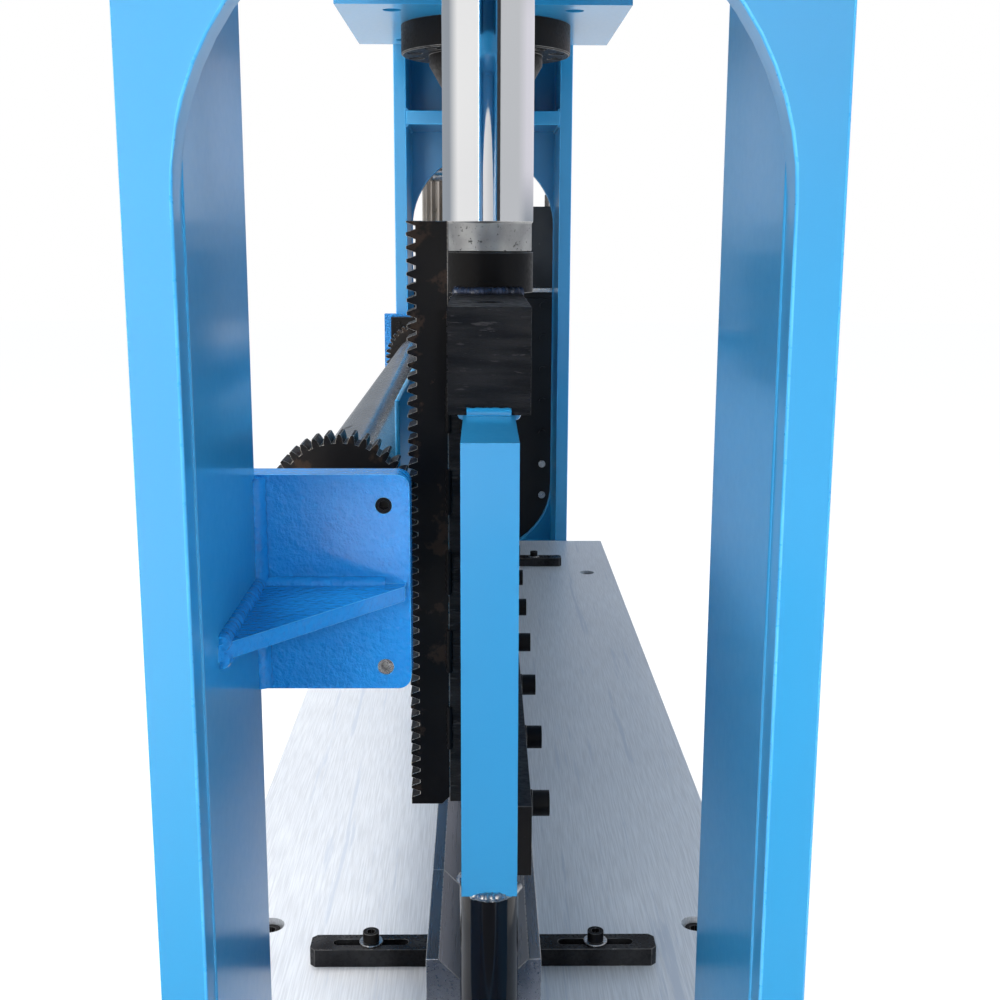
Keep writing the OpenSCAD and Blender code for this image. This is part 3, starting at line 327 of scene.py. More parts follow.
def finish(name, base, shade, rough, metal=0.0, broad=6.0, broad_stretch=(1, 1, 1), fine=180.0,
           fine_stretch=(1, 1, 1), bump=0.2, depth=0.0006, coat=0.0, gloss=0.5, wear=None, wear_scale=40.0,
           wear_stretch=(1, 1, 1), wear_from=0.64, wear_rough=0.35, wear_metal=1.0, streaks=0.0):
    made = bpy.data.materials.new(name)
    made.use_nodes = True
    tree = made.node_tree
    skin = tree.nodes["Principled BSDF"]
    coords = tree_node(tree, "ShaderNodeTexCoord").outputs["Object"]
    drift = noise_at(tree, coords, broad, broad_stretch, 1.0, 0.4)
    grain = noise_at(tree, coords, fine, fine_stretch, 3.0)
    color = mix_color(tree, band(tree, drift, *drift_range), base, shade)
    if streaks > 0:
        color = mix_color(tree, band(tree, grain, *streak_range, 0.0, streaks), color, streak_color)
    dull = band(tree, grain, *grain_range, *rough)
    shiny = metal
    if wear is not None:
        patches = noise_at(tree, coords, wear_scale, wear_stretch, 6.0, 0.65)
        bare = band(tree, patches, wear_from, wear_from + wear_border)
        color = mix_color(tree, bare, color, wear)
        dull = tree_node(tree, "ShaderNodeMix", {0: bare, 2: dull, 3: wear_rough}).outputs[0]
        shiny = tree_node(tree, "ShaderNodeMix", {0: bare, 2: metal, 3: wear_metal}).outputs[0]
    tree.links.new(color, skin.inputs["Base Color"])
    tree.links.new(dull, skin.inputs["Roughness"])
    if isinstance(shiny, bpy.types.NodeSocket):
        tree.links.new(shiny, skin.inputs["Metallic"])
    else:
        skin.inputs["Metallic"].default_value = shiny
    skin.inputs["Coat Weight"].default_value = coat
    skin.inputs["Specular IOR Level"].default_value = gloss
    skin.inputs["Coat Roughness"].default_value = coat_rough
    relief = tree_node(tree, "ShaderNodeBump", {"Height": grain, "Strength": bump, "Distance": depth})
    tree.links.new(relief.outputs[0], skin.inputs["Normal"])
    return made


print("finish builder ready")

# %% [markdown]
# ## Blue machine paint
# The frame is sprayed with a gloss enamel. It could be one flat colour, but a sprayed plate is
# never quite even, so it drifts between two close blues under a thin clear coat. The bearing
# brackets were painted thickly, which leaves a skin like an orange's: a strong, fine bump. Their
# blue is deeper than the frame's as painted shade, since they stand in the frame's shade.
# Edges are paler, because paint draws back from them and gets rubbed.

# %% Blue paints
paint = finish("blue_paint", (0.016, 0.218, 0.438), (0.021, 0.243, 0.472), (0.28, 0.31), broad=2.5,
               fine=170, bump=0.05, depth=0.0006, coat=0.40, gloss=0.45)
# The brackets' deeper blue is painted shade: they stand in the shade of the frame, and the bump is their
# real orange skin.
shaded_peel_paint = finish("blue_peel_paint_shaded", (0.003, 0.168, 0.47), (0.006, 0.196, 0.53), (0.13, 0.18), broad=9,
                    fine=240, bump=0.95, depth=0.0027, coat=0.5, gloss=0.32)
paint_edge = finish("blue_paint_edge", (0.03, 0.29, 0.58), (0.05, 0.34, 0.62), (0.25, 0.40), broad=30,
                    fine=300, bump=0.3, coat=0.3, wear=(0.30, 0.42, 0.55), wear_scale=55,
                    wear_from=0.72, wear_metal=0.2)
print("blue paints:", [m.name for m in (paint, shaded_peel_paint, paint_edge)])

# %% [markdown]
# ## Blackened steel
# Screws, clamps and collars are blackened by heat and oil, not painted. The black is therefore
# thin and a little glossy, and it goes first where hands and spanners touch. A dark colour with
# weak reflection gives the depth, and the edges get a metallic grey of their own. The turned
# collars and posts are smoother, so they mirror the room in soft upright bands. The valve
# manifold is phosphated, which is a shade lighter and duller.

# %% Black steels
black = finish("black_steel", (0.003, 0.003, 0.004), (0.008, 0.007, 0.0065), (0.30, 0.52), broad=14,
               fine=240, bump=0.5, depth=0.0005, gloss=0.12, wear=(0.055, 0.052, 0.05), wear_scale=70,
               wear_stretch=(1, 1, 3), wear_from=0.70, wear_rough=0.38)
black_edge = finish("black_steel_edge", (0.045, 0.045, 0.045), (0.14, 0.135, 0.13), (0.28, 0.45), metal=0.7,
                    broad=60, fine=400, bump=0.3, wear=(0.34, 0.33, 0.31), wear_scale=90, wear_from=0.60)
polished = finish("polished_black", (0.003, 0.003, 0.004), (0.006, 0.006, 0.007), (0.07, 0.15), broad=9,
                  fine=260, fine_stretch=(1, 1, 0.2), bump=0.08, gloss=0.36, wear=(0.06, 0.055, 0.05),
                  wear_scale=34, wear_stretch=(1, 1, 0.3), wear_from=0.70, wear_rough=0.22,
                  wear_metal=0.6)
clamp_black = finish("clamp_black", (0.005, 0.005, 0.006), (0.018, 0.018, 0.019), (0.20, 0.38), broad=40,
                     fine=260, bump=0.16, gloss=0.12, wear=(0.10, 0.10, 0.10), wear_scale=70,
                     wear_stretch=(1, 1.6, 0.4), wear_from=0.69, wear_rough=0.30, wear_metal=0.6)
phosphate = finish("phosphated_steel", (0.018, 0.019, 0.021), (0.034, 0.035, 0.037), (0.30, 0.46), metal=0.3,
                   broad=18, fine=300, bump=0.4, gloss=0.35, wear=(0.12, 0.12, 0.12), wear_scale=55,
                   wear_from=0.68)
print("black steels:", [m.name for m in (black, black_edge, polished, clamp_black, phosphate)])

# %% [markdown]
# ## Mill scale and rack steel
# The coupling blocks are sawn from hot-rolled bar, so they keep the scale of the rolling mill,
# with fine lines along the bar. Stretching the noise along the bar draws them without a
# picture. Rack and pinions are oiled black with a few brown spots, and their teeth are
# rubbed bright where they mesh.

# %% Scale, rack and teeth
scale_black = finish("mill_scale", (0.004, 0.004, 0.005), (0.016, 0.015, 0.015), (0.30, 0.62), broad=22,
                     broad_stretch=(0.7, 0.7, 6), fine=230, fine_stretch=(0.5, 0.5, 3), bump=1.0,
                     depth=0.0016, gloss=0.18, wear=(0.040, 0.038, 0.037), wear_scale=70,
                     wear_stretch=(0.6, 0.6, 4), wear_from=0.60, wear_rough=0.4, wear_metal=0.3)
rack_black = finish("rack_black", (0.004, 0.0045, 0.006), (0.012, 0.010, 0.009), (0.28, 0.50), broad=11,
                    fine=210, bump=0.5, gloss=0.10, wear=(0.034, 0.022, 0.016), wear_scale=34,
                    wear_from=0.57, wear_metal=0.2)
tooth_bright = finish("tooth_bright", (0.42, 0.38, 0.33), (0.60, 0.57, 0.52), (0.20, 0.40), metal=1.0,
                      broad=80, fine=500, bump=0.3, wear=(0.16, 0.11, 0.07), wear_scale=120,
                      wear_from=0.60, wear_rough=0.5, wear_metal=0.6)
print("scale and gear finishes:", [m.name for m in (scale_black, rack_black, tooth_bright)])

# %% [markdown]
# ## Ground and machined steel
# The table is ground flat, which leaves long fine marks in one direction, and the die is milled
# and a shade darker. Real brushed steel can be made with an anisotropic shader, but marks that
# are seen singly look better as a stretched grain. The table is only partly metallic here: a full
# metal would mirror the dark room and lose the pale, dull look of a ground face. The torsion
# shaft and the other turned parts carry fine rings from the lathe, and the motor is cast metal.

# %% Bright steels
ground = finish("ground_steel", (0.62, 0.645, 0.68), (0.68, 0.705, 0.735), (0.34, 0.46), metal=0.45,
                broad=3, fine=300, fine_stretch=(0.07, 2.6, 1), bump=0.10, depth=0.0002,
                wear=(0.50, 0.54, 0.60), wear_scale=26, wear_stretch=(0.12, 3, 1), wear_from=0.60,
                wear_rough=0.42, wear_metal=0.45, streaks=0.22)
die_steel = finish("die_steel", (0.20, 0.21, 0.235), (0.27, 0.28, 0.31), (0.24, 0.38), metal=0.85,
                   broad=9, fine=240, fine_stretch=(0.06, 3, 3), bump=0.16, depth=0.0003,
                   wear=(0.07, 0.07, 0.075), wear_scale=24, wear_from=0.66, wear_rough=0.45,
                   streaks=0.15)
tube_steel = finish("tube_steel", (0.36, 0.36, 0.365), (0.46, 0.46, 0.465), (0.16, 0.30), metal=1.0,
                    broad=9, fine=220, fine_stretch=(5, 0.5, 0.5), bump=0.2, wear=(0.12, 0.11, 0.10),
                    wear_scale=20, wear_from=0.64)
bright = finish("turned_steel", (0.50, 0.50, 0.50), (0.60, 0.60, 0.60), (0.20, 0.36), metal=1.0,
                broad=8, fine=220, fine_stretch=(6, 0.4, 0.4), bump=0.15, wear=(0.28, 0.26, 0.24),
                wear_scale=22, wear_from=0.66)
cast_metal = finish("cast_metal", (0.30, 0.27, 0.24), (0.38, 0.35, 0.32), (0.36, 0.52), metal=0.7,
                    broad=14, fine=260, bump=0.6, wear=(0.18, 0.16, 0.14), wear_scale=40)
print("bright steels:", [m.name for m in (ground, die_steel, tube_steel, bright, cast_metal)])

# %% [markdown]
# ## Hard chrome and the bare band
# The rods slide through seals, so they are chromed and polished: a full metal with hardly any
# roughness. A plain mirror would look like glass, so a faint, drawn-out wear breaks it up. Below
# the stroke the plating stops, and a band of speckled grey steel shows.

# %% Chrome and band
chrome = finish("hard_chrome", (0.86, 0.87, 0.88), (0.80, 0.81, 0.83), (0.035, 0.075), metal=1.0,
                broad=5, fine=300, bump=0.02, depth=0.0002, wear=(0.62, 0.62, 0.62), wear_scale=60,
                wear_stretch=(1, 1, 0.15), wear_from=0.72, wear_rough=0.16)
speckled = finish("unplated_band", (0.30, 0.30, 0.30), (0.42, 0.42, 0.41), (0.32, 0.52), metal=0.9,
                  broad=60, fine=420, bump=0.5, depth=0.0004, wear=(0.10, 0.10, 0.10),
                  wear_scale=260, wear_from=0.60, wear_rough=0.55)
print("rod finishes:", [m.name for m in (chrome, speckled)])

# %% [markdown]
# ## Bushes, tank and control box
# The guide bushes are bronze. The oil tank is sprayed matt black, and the control box light
# grey. None of them needs more than a quiet grain and a little wear.

# %% Bronze, tank black and box grey
bronze = finish("bronze", (0.50, 0.33, 0.14), (0.58, 0.40, 0.19), (0.26, 0.42), metal=1.0, broad=12,
                fine=260, bump=0.2, wear=(0.25, 0.16, 0.08), wear_scale=30)
dark = finish("dark_paint", (0.008, 0.008, 0.009), (0.014, 0.014, 0.015), (0.36, 0.52), broad=5,
              fine=160, bump=0.3, gloss=0.25, wear=(0.10, 0.09, 0.085), wear_scale=38, wear_from=0.70)
grey = finish("grey_paint", (0.50, 0.51, 0.52), (0.56, 0.57, 0.58), (0.34, 0.48), broad=8, fine=420,
              bump=0.3, wear=(0.30, 0.30, 0.30), wear_scale=30, wear_from=0.70, wear_metal=0.0)
print("quiet finishes:", [m.name for m in (bronze, dark, grey)])

# %% [markdown]
# ## Weld metal
# A weld that nobody painted goes from silver to blue and brown, as the heat left it. The real
# colours follow the torch. Two close colours with patches of a third come near enough on beads a
# few millimetres wide.

# %% Weld metal
weld_dark = finish("weld_dark", (0.03, 0.035, 0.05), (0.08, 0.10, 0.16), (0.25, 0.5), metal=0.8,
                   broad=60, fine=320, bump=0.7, wear=(0.30, 0.30, 0.32), wear_scale=90, wear_from=0.62)
weld_silver = finish("weld_silver", (0.42, 0.42, 0.42), (0.62, 0.61, 0.59), (0.22, 0.4), metal=1.0,
                     broad=70, fine=320, bump=0.6, wear=(0.20, 0.16, 0.12), wear_scale=80)
print("weld finishes:", [m.name for m in (weld_dark, weld_silver)])

# %% [markdown]
# ## Plastics of the buttons
# Push buttons are moulded plastic with a smooth, slightly waxy face. They differ only in
# colour and gloss, so one short function holds what they share.


# %% Plastics
def plastic(name, base, shade, rough, bump, worn):
    return finish(name, base, shade, rough, broad=20, fine=500, bump=bump, wear=worn, wear_scale=60,
                  wear_metal=0.0)


black_plastic = plastic("black_plastic", (0.02, 0.02, 0.02), (0.03, 0.03, 0.03), (0.35, 0.5), 0.2,
                        (0.06, 0.06, 0.06))
red_plastic = plastic("red_plastic", (0.55, 0.012, 0.008), (0.66, 0.02, 0.012), (0.2, 0.32), 0.1,
                      (0.35, 0.02, 0.02))
white_plastic = plastic("white_plastic", (0.72, 0.72, 0.69), (0.80, 0.80, 0.77), (0.2, 0.32), 0.1,
                        (0.50, 0.49, 0.45))
green_plastic = plastic("green_plastic", (0.015, 0.26, 0.06), (0.03, 0.34, 0.09), (0.2, 0.32), 0.1,
                        (0.02, 0.16, 0.05))
print("materials:", len(bpy.data.materials))

# %% [markdown]
# ## Rounded copies of the CAD pieces
# No real edge is perfectly sharp: it catches a thin line of light. The CAD meshes must stay as
# they are, so each piece gets a copy. Its doubled points are merged and its flat faces cleaned,
# and then a bevel rounds the edges by a millimetre or so. A bevel in the shader would be cheaper,
# but it is lost in an export. The bevel takes a second material, so that edges look worn, and
# weighted normals keep the large faces flat.

# %% Merged copy of a CAD piece
merge_distance = 0.000005
flat_angle = math.radians(0.6)


def as_active(obj):
    bpy.ops.object.select_all(action="DESELECT")
    obj.select_set(True)
    bpy.context.view_layer.objects.active = obj


def merged_copy(name, material, edge_material):
    source = nodes[name]
    copy = source.copy()
    copy.data = source.data.copy()
    scene.collection.objects.link(copy)
    for key in list(copy.keys()):
        del copy[key]
    copy.parent = None
    copy.name = name + "_dressed"
    copy.data.materials.clear()
    copy.data.materials.append(material)
    copy.data.materials.append(edge_material)
    as_active(copy)
    bpy.ops.object.mode_set(mode="EDIT")
    bpy.ops.mesh.select_all(action="SELECT")
    bpy.ops.mesh.remove_doubles(threshold=merge_distance)
    bpy.ops.mesh.normals_make_consistent(inside=False)
    bpy.ops.mesh.dissolve_limited(angle_limit=flat_angle)
    bpy.ops.object.mode_set(mode="OBJECT")
    for face in copy.data.polygons:
        face.material_index = 0
    return copy


print("faces within", round(math.degrees(flat_angle), 2), "degrees count as flat")

# %% Rounded edges
rounded_from = math.radians(32)
smooth_angle = math.radians(34)


def rounded_copy(name, width, material, edge_material):
    copy = merged_copy(name, material, edge_material)
    rounding = copy.modifiers.new("rounding", "BEVEL")
    rounding.width = width
    rounding.segments = 2
    rounding.limit_method = "ANGLE"
    rounding.angle_limit = rounded_from
    rounding.use_clamp_overlap = True
    rounding.material = 1
    bpy.ops.object.modifier_apply(modifier=rounding.name)
    bpy.ops.object.shade_smooth_by_angle(angle=smooth_angle)
    even = copy.modifiers.new("even_normals", "WEIGHTED_NORMAL")
    even.weight = 90
    even.keep_sharp = True
    bpy.ops.object.modifier_apply(modifier=even.name)
    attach(copy, node_body[name])
    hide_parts(name)
    return copy


print("edges are rounded from", round(math.degrees(rounded_from)), "degrees")

# %% [markdown]
# ## Which piece gets which finish
# The record already gives each piece a material slot, such as chrome or black steel. That slot
# picks the look, which keeps sixty pieces down to one short table. A second table names the
# pieces whose finish differs from the rest of their slot. Each row holds the width of the
# rounding in metres, the finish of the faces and the finish of the rounded edges.

# %% Finish of each slot
looks = {
    "blue_paint": (0.0015, paint, paint_edge),
    "black_steel": (0.0006, black, black_edge),
    "ground_steel": (0.0006, ground, bright),
    "bright_steel": (0.0006, bright, bright),
    "chrome": (0.0004, chrome, bright),
    "polished_black": (0.0006, polished, black_edge),
    "bronze": (0.0006, bronze, bronze),
    "dark_paint": (0.0012, dark, black_edge),
    "grey_paint": (0.0015, grey, grey),
    "black_plastic": (0.0008, black_plastic, black_plastic),
    "red_plastic": (0.0030, red_plastic, red_plastic),
    "white_plastic": (0.0012, white_plastic, white_plastic),
    "green_plastic": (0.0012, green_plastic, green_plastic),
}
print("slots:", len(looks))

# %% Pieces with a finish of their own
special = {
    "stop_button": (0.0009, red_plastic, red_plastic),
    "v_die": (0.0005, die_steel, bright),
    "punch": (0.0006, die_steel, bright),
    "coupling_blocks": (0.0008, scale_black, clamp_black),
    "rack_spacers": (0.0005, scale_black, black_edge),
    "racks": (0.0003, rack_black, tooth_bright),
    "pinions": (0.0003, rack_black, tooth_bright),
    "bearing_brackets": (0.0015, shaded_peel_paint, paint_edge),
    "torsion_shaft": (0.0006, tube_steel, bright),
    "pump_motor": (0.0008, cast_metal, cast_metal),
    "valve_manifold": (0.0010, phosphate, bright),
}
for clamp in ("near_front_clamp", "near_rear_clamp", "far_front_clamp", "far_rear_clamp"):
    special[clamp] = (0.0005, clamp_black, black_edge)
print("pieces with a finish of their own:", len(special))

# %% Dress every piece
dressed = {}
for name in nodes:
    width, material, edge_material = special.get(name, looks[node_slot[name]])
    dressed[name] = rounded_copy(name, width, material, edge_material)
faces = sum(len(o.data.polygons) for o in dressed.values())
print("dressed:", len(dressed), "pieces,", faces, "faces")

# %% [markdown]
# ## Places in the machine
# Welds and fittings have to land on the plates that they belong to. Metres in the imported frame
# would be hard to read, so places are written in the millimetres of the CAD source, which
# counts from the middle of the table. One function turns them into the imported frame.

# %% Places
table_low, table_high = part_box("table")
middle = Vector(((table_low.x + table_high.x) / 2, (table_low.y + table_high.y) / 2, 0))
ram_low, ram_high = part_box("ram")
ram_mid = ((ram_low.y + ram_high.y) / 2 - middle.y) * 1000
both = (-1, 1)


def at(x, y, z):
    return Vector((x / 1000 + middle.x, y / 1000 + middle.y, z / 1000))


print("middle of the table:", [round(v, 4) for v in middle], "ram at y", round(ram_mid, 2), "mm")

# %% [markdown]
# ## Tubes that follow a path
# Weld beads and oil pipes are both tubes along a line. A curve object with a bevel could draw
# them, but its radius can't ripple like a bead's. So a flat grid is wrapped round the line: its
# length runs from ring to ring and its width goes round. The rings must not twist, so each one
# takes its directions over from the one before. The first and last ring shrink to a point,
# which closes the ends.

# %% Points of a path with rounded corners
corner_steps = 9
longest_bend = 0.45


def path_points(corners, bend, spacing):
    points = [corners[0]]
    for before, corner, after in zip(corners, corners[1:], corners[2:]):
        back = (before - corner).normalized()
        ahead = (after - corner).normalized()
        half = back.angle(ahead) / 2
        reach = min(bend / math.tan(half), (before - corner).length * longest_bend,
                    (after - corner).length * longest_bend)
        start, end = corner + back * reach, corner + ahead * reach
        points.append(start)
        for step in range(1, corner_steps):
            t = step / corner_steps
            points.append((1 - t) ** 2 * start + 2 * t * (1 - t) * corner + t ** 2 * end)
        points.append(end)
    points.append(corners[-1])
    dense = [points[0]]
    for first, second in zip(points, points[1:]):
        count = max(1, round((second - first).length / spacing))
        dense += [first.lerp(second, (i + 1) / count) for i in range(count)]
    return dense


print("a corner is drawn with", corner_steps + 1, "points")


# %% Rings that don't twist
def ring_frames(line):
    last_point = len(line) - 1
    tangents = [(line[min(i + 1, last_point)] - line[max(i - 1, 0)]).normalized()
                for i in range(len(line))]
    rings = [line[0]] + line + [line[-1]]
    tangents = [tangents[0]] + tangents + [tangents[-1]]
    side = tangents[0].orthogonal().normalized()
    frames = []
    travelled = []
    run = 0.0
    for i, tangent in enumerate(tangents):
        side = (side - tangent * side.dot(tangent)).normalized()
        frames.append((side.copy(), tangent.cross(side)))
        run += (rings[i] - rings[max(i - 1, 0)]).length
        travelled.append(run)
    return rings, frames, travelled


print("ring frames ready")

# %% Sweep a tube
lump_scale = 150
lump_share = 0.8
ring_merge = 0.00001
tube_smooth_angle = math.radians(50)


def swept(name, body, material, corners, radius, bend=0.0, spacing=0.03, sides=12,
          ripple=0.0, pitch=0.006):
    line = path_points([Vector(c) for c in corners], bend, spacing)
    rings, frames, travelled = ring_frames(line)
    last = len(rings) - 1
    bpy.ops.mesh.primitive_grid_add(x_subdivisions=last, y_subdivisions=sides, size=2)
    made = bpy.context.object
    made.name = name
    as_active(made)
    bpy.ops.object.mode_set(mode="EDIT")
    mesh = bmesh.from_edit_mesh(made.data)
    for vertex in mesh.verts:
        i = round((vertex.co.x + 1) / 2 * last)
        turn_by = (vertex.co.y + 1) * math.pi
        wave = 1 + ripple * (abs(math.sin(math.pi * travelled[i] / pitch)) - 0.5)
        wave += ripple * lump_share * noise.noise(rings[i] * lump_scale)
        size = radius * wave if 0 < i < last else 0.0
        across, up = frames[i]
        vertex.co = rings[i] + size * (math.cos(turn_by) * across + math.sin(turn_by) * up)
    bmesh.update_edit_mesh(made.data)
    bpy.ops.mesh.select_all(action="SELECT")
    bpy.ops.mesh.remove_doubles(threshold=ring_merge)
    bpy.ops.mesh.normals_make_consistent(inside=False)
    bpy.ops.object.mode_set(mode="OBJECT")
    bpy.ops.object.shade_smooth_by_angle(angle=tube_smooth_angle)
    made.data.materials.append(material)
    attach(made, body)
    return made


def joined(name, parts):
    as_active(parts[0])
    for part in parts:
        part.select_set(True)
    bpy.ops.object.join()
    parts[0].name = name
    return parts[0]


print("sweep ready")

# %% [markdown]
# ## Painted welds of the frame
# The end frames are web plates with flanges and shelves welded to them, and crown, bed and foot
# plates are welded on in turn. A weld could be a line in the paint, but from a step away it is
# the light along its back that shows. Each bead is a thin tube half sunk in its corner, with a
# slight ripple. The long ones in the pockets are filled with paint, so they stay smooth.

# %% One painted bead
bead_spacing = 0.0025
painted_ripple = 0.12
painted_pitch = 0.007


def bead(start, end, radius, material=paint, body="machine_frame", ripple=painted_ripple):
    return swept("bead", body, material, [at(*start), at(*end)], radius,
                 spacing=bead_spacing, ripple=ripple, pitch=painted_pitch)


print("bead maker ready")

# %% Planes of the frame, in millimetres
web_outside = 1025
web_inside = 1005
flange_end = 837
flange_inside = 138
flange_outside = 160
foot_top = 25
shelf_faces = (1586, 1610, 688, 712)
crown_low, crown_high = 1731, 1925
bed_low, bed_high = 382, 758
cylinder_x = 430
plate_half = 188
plate_top = 1728.5
print("end frame from", foot_top, "to", crown_high, "mm")

# %% Welds of the frame
filled_bead = 0.002
light_bead = 0.003
shelf_bead = 0.004
heavy_bead = 0.005

beads = []
for end in both:
    seam_x = end * web_inside
    edge_x = end * flange_end
    corner_x = end * web_outside
    for side in both:
        y = side * flange_inside
        beads.append(bead((seam_x, y, foot_top + 5), (seam_x, y, crown_high), filled_bead, ripple=0.0))
        for z in shelf_faces:
            beads.append(bead((seam_x - 2 * end, y, z), (edge_x + 2 * end, y, z), shelf_bead))
        y = side * flange_outside
        beads.append(bead((corner_x, y, foot_top), (edge_x, y, foot_top), heavy_bead))
        beads.append(bead((edge_x, y, crown_low), (edge_x, y, crown_high), light_bead))
        beads.append(bead((edge_x, y, bed_low), (edge_x, y, bed_high), light_bead))
    front_corner = (corner_x, -flange_outside, foot_top)
    rear_corner = (corner_x, flange_outside, foot_top)
    beads.append(bead(front_corner, rear_corner, heavy_bead))
    plate_from = end * cylinder_x - plate_half
    plate_to = end * cylinder_x + plate_half
    for side in both:
        y = side * flange_outside
        beads.append(bead((plate_from, y, plate_top), (plate_to, y, plate_top), heavy_bead))
frame_welds = joined("frame_welds", beads)
print("frame welds:", len(frame_welds.data.polygons), "faces")

# %% [markdown]
# ## Welds of the bearing brackets
# Each bracket is a plate with a gusset, welded into the corner of the end frame and painted
# thickly. The frame's bead maker could serve unchanged, but thick paint fills a corner. So these
# beads are fatter than the frame's, and they take the brackets' orange-skin paint, with its
# painted shade, too.

# %% Welds of the brackets
bracket_face = 838
bracket_low, bracket_high = 1117, 1248
gusset_faces = (1173.5, 1182.5)
gusset_tip_x = 960
gusset_tip_y = 60
wall_bead = 0.007
gusset_wall_bead = 0.005
gusset_face_bead = 0.0045

beads = []
for end in both:
    face_x = end * bracket_face
    low_end = (face_x, flange_inside, bracket_low)
    high_end = (face_x, flange_inside, bracket_high)
    beads.append(bead(low_end, high_end, wall_bead, shaded_peel_paint))
    for z in gusset_faces:
        tip = (end * gusset_tip_x, flange_inside - 1, z)
        root = (end * (flange_end + 3), flange_inside - 1, z)
        beads.append(bead(tip, root, gusset_wall_bead, shaded_peel_paint))
        tip = (face_x, gusset_tip_y, z)
        root = (face_x, flange_inside - 2, z)
        beads.append(bead(tip, root, gusset_face_bead, shaded_peel_paint))
bracket_welds = joined("bracket_welds", beads)
print("bracket welds:", len(bracket_welds.data.polygons), "faces")

# %% [markdown]
# ## Welds that ride on the ram
# The coupling blocks are welded to the ram, and their beads are painted over. The beads of the
# collars stay dark and bare, those of the guide posts silver, and the rack spacers have short
# black stitches. They could be drawn into the ram's own mesh, but separate beads leave the CAD
# pieces whole. All of them move, so they ride on the ram's body and not on the frame.

# %% Painted welds of the coupling blocks
ram_top = 1265
ram_face = 18.7
block_half = 16
block_inner, block_outer = 392, 678
ram_beads = []
for end in both:
    for side in both:
        y = ram_mid + side * ram_face
        ram_beads.append(bead((end * block_outer, y, ram_top), (end * block_inner, y, ram_top), 0.004,
                              body="ram_assembly"))
for end in both:
    for x in (block_outer + 3, block_inner - 3):
        front_end = (end * x, ram_mid - block_half, ram_top + 1)
        rear_end = (end * x, ram_mid + block_half, ram_top + 1)
        ram_beads.append(bead(front_end, rear_end, 0.0045, body="ram_assembly"))
block_welds = joined("ram_block_welds", ram_beads)
print("block welds:", len(block_welds.data.polygons), "faces")

# %% Dark arcs at the collars and stitches at the rack spacers
bare_ripple = 0.3


def bare_bead(material, line, radius, sides, pitch):
    return swept("bead", "ram_assembly", material, line, radius, spacing=bead_spacing, sides=sides,
                 ripple=bare_ripple, pitch=pitch)


def arc(x, radius, z, angles):
    return [at(x + radius * math.cos(math.radians(a)), ram_mid + radius * math.sin(math.radians(a)), z)
            for a in angles]


collar_radius = 40.5
collar_weld_z = 1343
collar_half_arc = 44
spacer_sides = (619.5, 650.5)
spacer_faces = (ram_mid + 18.6, ram_mid + 29.8)
stitch_length = 34
stitch_starts = range(1000, 1260, 62)
dark_beads = []
for end in both:
    for facing in (0, 180):
        angles = range(facing - collar_half_arc, facing + collar_half_arc + 1, 4)
        line = arc(end * cylinder_x, collar_radius, collar_weld_z, angles)
        dark_beads.append(bare_bead(weld_dark, line, 0.0045, 10, 0.006))
    for x in spacer_sides:
        for y in spacer_faces:
            for z in stitch_starts:
                line = [at(end * x, y, z), at(end * x, y, z + stitch_length)]
                dark_beads.append(bare_bead(black, line, 0.0022, 8, 0.005))
dark_welds = joined("collar_and_rack_welds", dark_beads)
print("collar and rack welds:", len(dark_welds.data.polygons), "faces")

# %% Silver arcs at the guide posts
post_x = 790
post_radius = 20
post_weld_z = 959.5
post_half_arc = 55
silver_beads = []
for end in both:
    for facing in (20, 200):
        angles = range(facing - post_half_arc, facing + post_half_arc + 1, 5)
        line = arc(end * post_x, post_radius, post_weld_z, angles)
        silver_beads.append(bare_bead(weld_silver, line, 0.003, 10, 0.004))
post_welds = joined("post_welds", silver_beads)
print("post welds:", len(post_welds.data.polygons), "faces")

# %% [markdown]
# ## Oil pipes
# Each cylinder has two ports, and steel pipes join them to the valve manifold on the tank. The
# CAD pipes turn in plain corners. A bender draws real ones round a former, so these stand in for
# them with round bends, and with union nuts at the ports and the same clips on the crown.

# %% Where the pipes run, in millimetres
_, pipe_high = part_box("oil_pipes")
cap_low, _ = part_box("cylinder_caps")
_, cover_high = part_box("crown_cover")
manifold_low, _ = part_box("valve_manifold")
pipe_radius = 0.0108
pipe_z = cover_high.z * 1000 + 26
cap_port_z = cap_low.z * 1000 + 22.5
gland_port_z = 1798.5
manifold_port_z = manifold_low.z * 1000 + 160
turn_z = manifold_port_z + 60
drop_x = 1050
manifold_x = 1115
front_y, rear_y, inner_y = -140.7, 113.3, -62.0
front_port_y, rear_port_y = -118.7, 91.3
print("CAD pipes up to", round(pipe_high.z * 1000, 1), "mm, drawn ones run at", round(pipe_z, 1), "mm")


# %% Bent pipes
def pipe(corners, bend):
    return swept("pipe", "machine_frame", bright, corners, pipe_radius, bend=bend,
                 spacing=0.02, sides=20)


cap_run = (front_y, front_port_y, cap_port_z, front_y)
gland_run = (rear_y, rear_port_y, gland_port_z, inner_y)
parts = []
for y, port_y, port_z, end_y in (cap_run, gland_run):
    corners = [at(-cylinder_x, port_y, port_z), at(-cylinder_x, y, port_z), at(-cylinder_x, y, pipe_z)]
    corners += [at(drop_x, y, pipe_z), at(drop_x, y, turn_z), at(manifold_x, y, turn_z)]
    if end_y != y:
        corners.append(at(manifold_x, end_y, turn_z))
    corners.append(at(manifold_x, end_y, manifold_port_z))
    parts.append(pipe(corners, 0.02))
    corners = [at(cylinder_x, port_y, port_z), at(cylinder_x, y, port_z), at(cylinder_x, y, pipe_z)]
    parts.append(pipe(corners, 0.012))
print("pipe runs:", len(parts))


# %% Union nuts and clips
def chamfered(made, width):
    as_active(made)
    bpy.ops.object.transform_apply(location=True, rotation=True, scale=True)
    chamfer = made.modifiers.new("chamfer", "BEVEL")
    chamfer.width = width
    chamfer.segments = 2
    bpy.ops.object.modifier_apply(modifier=chamfer.name)
    made.data.materials.append(bright)
    return made


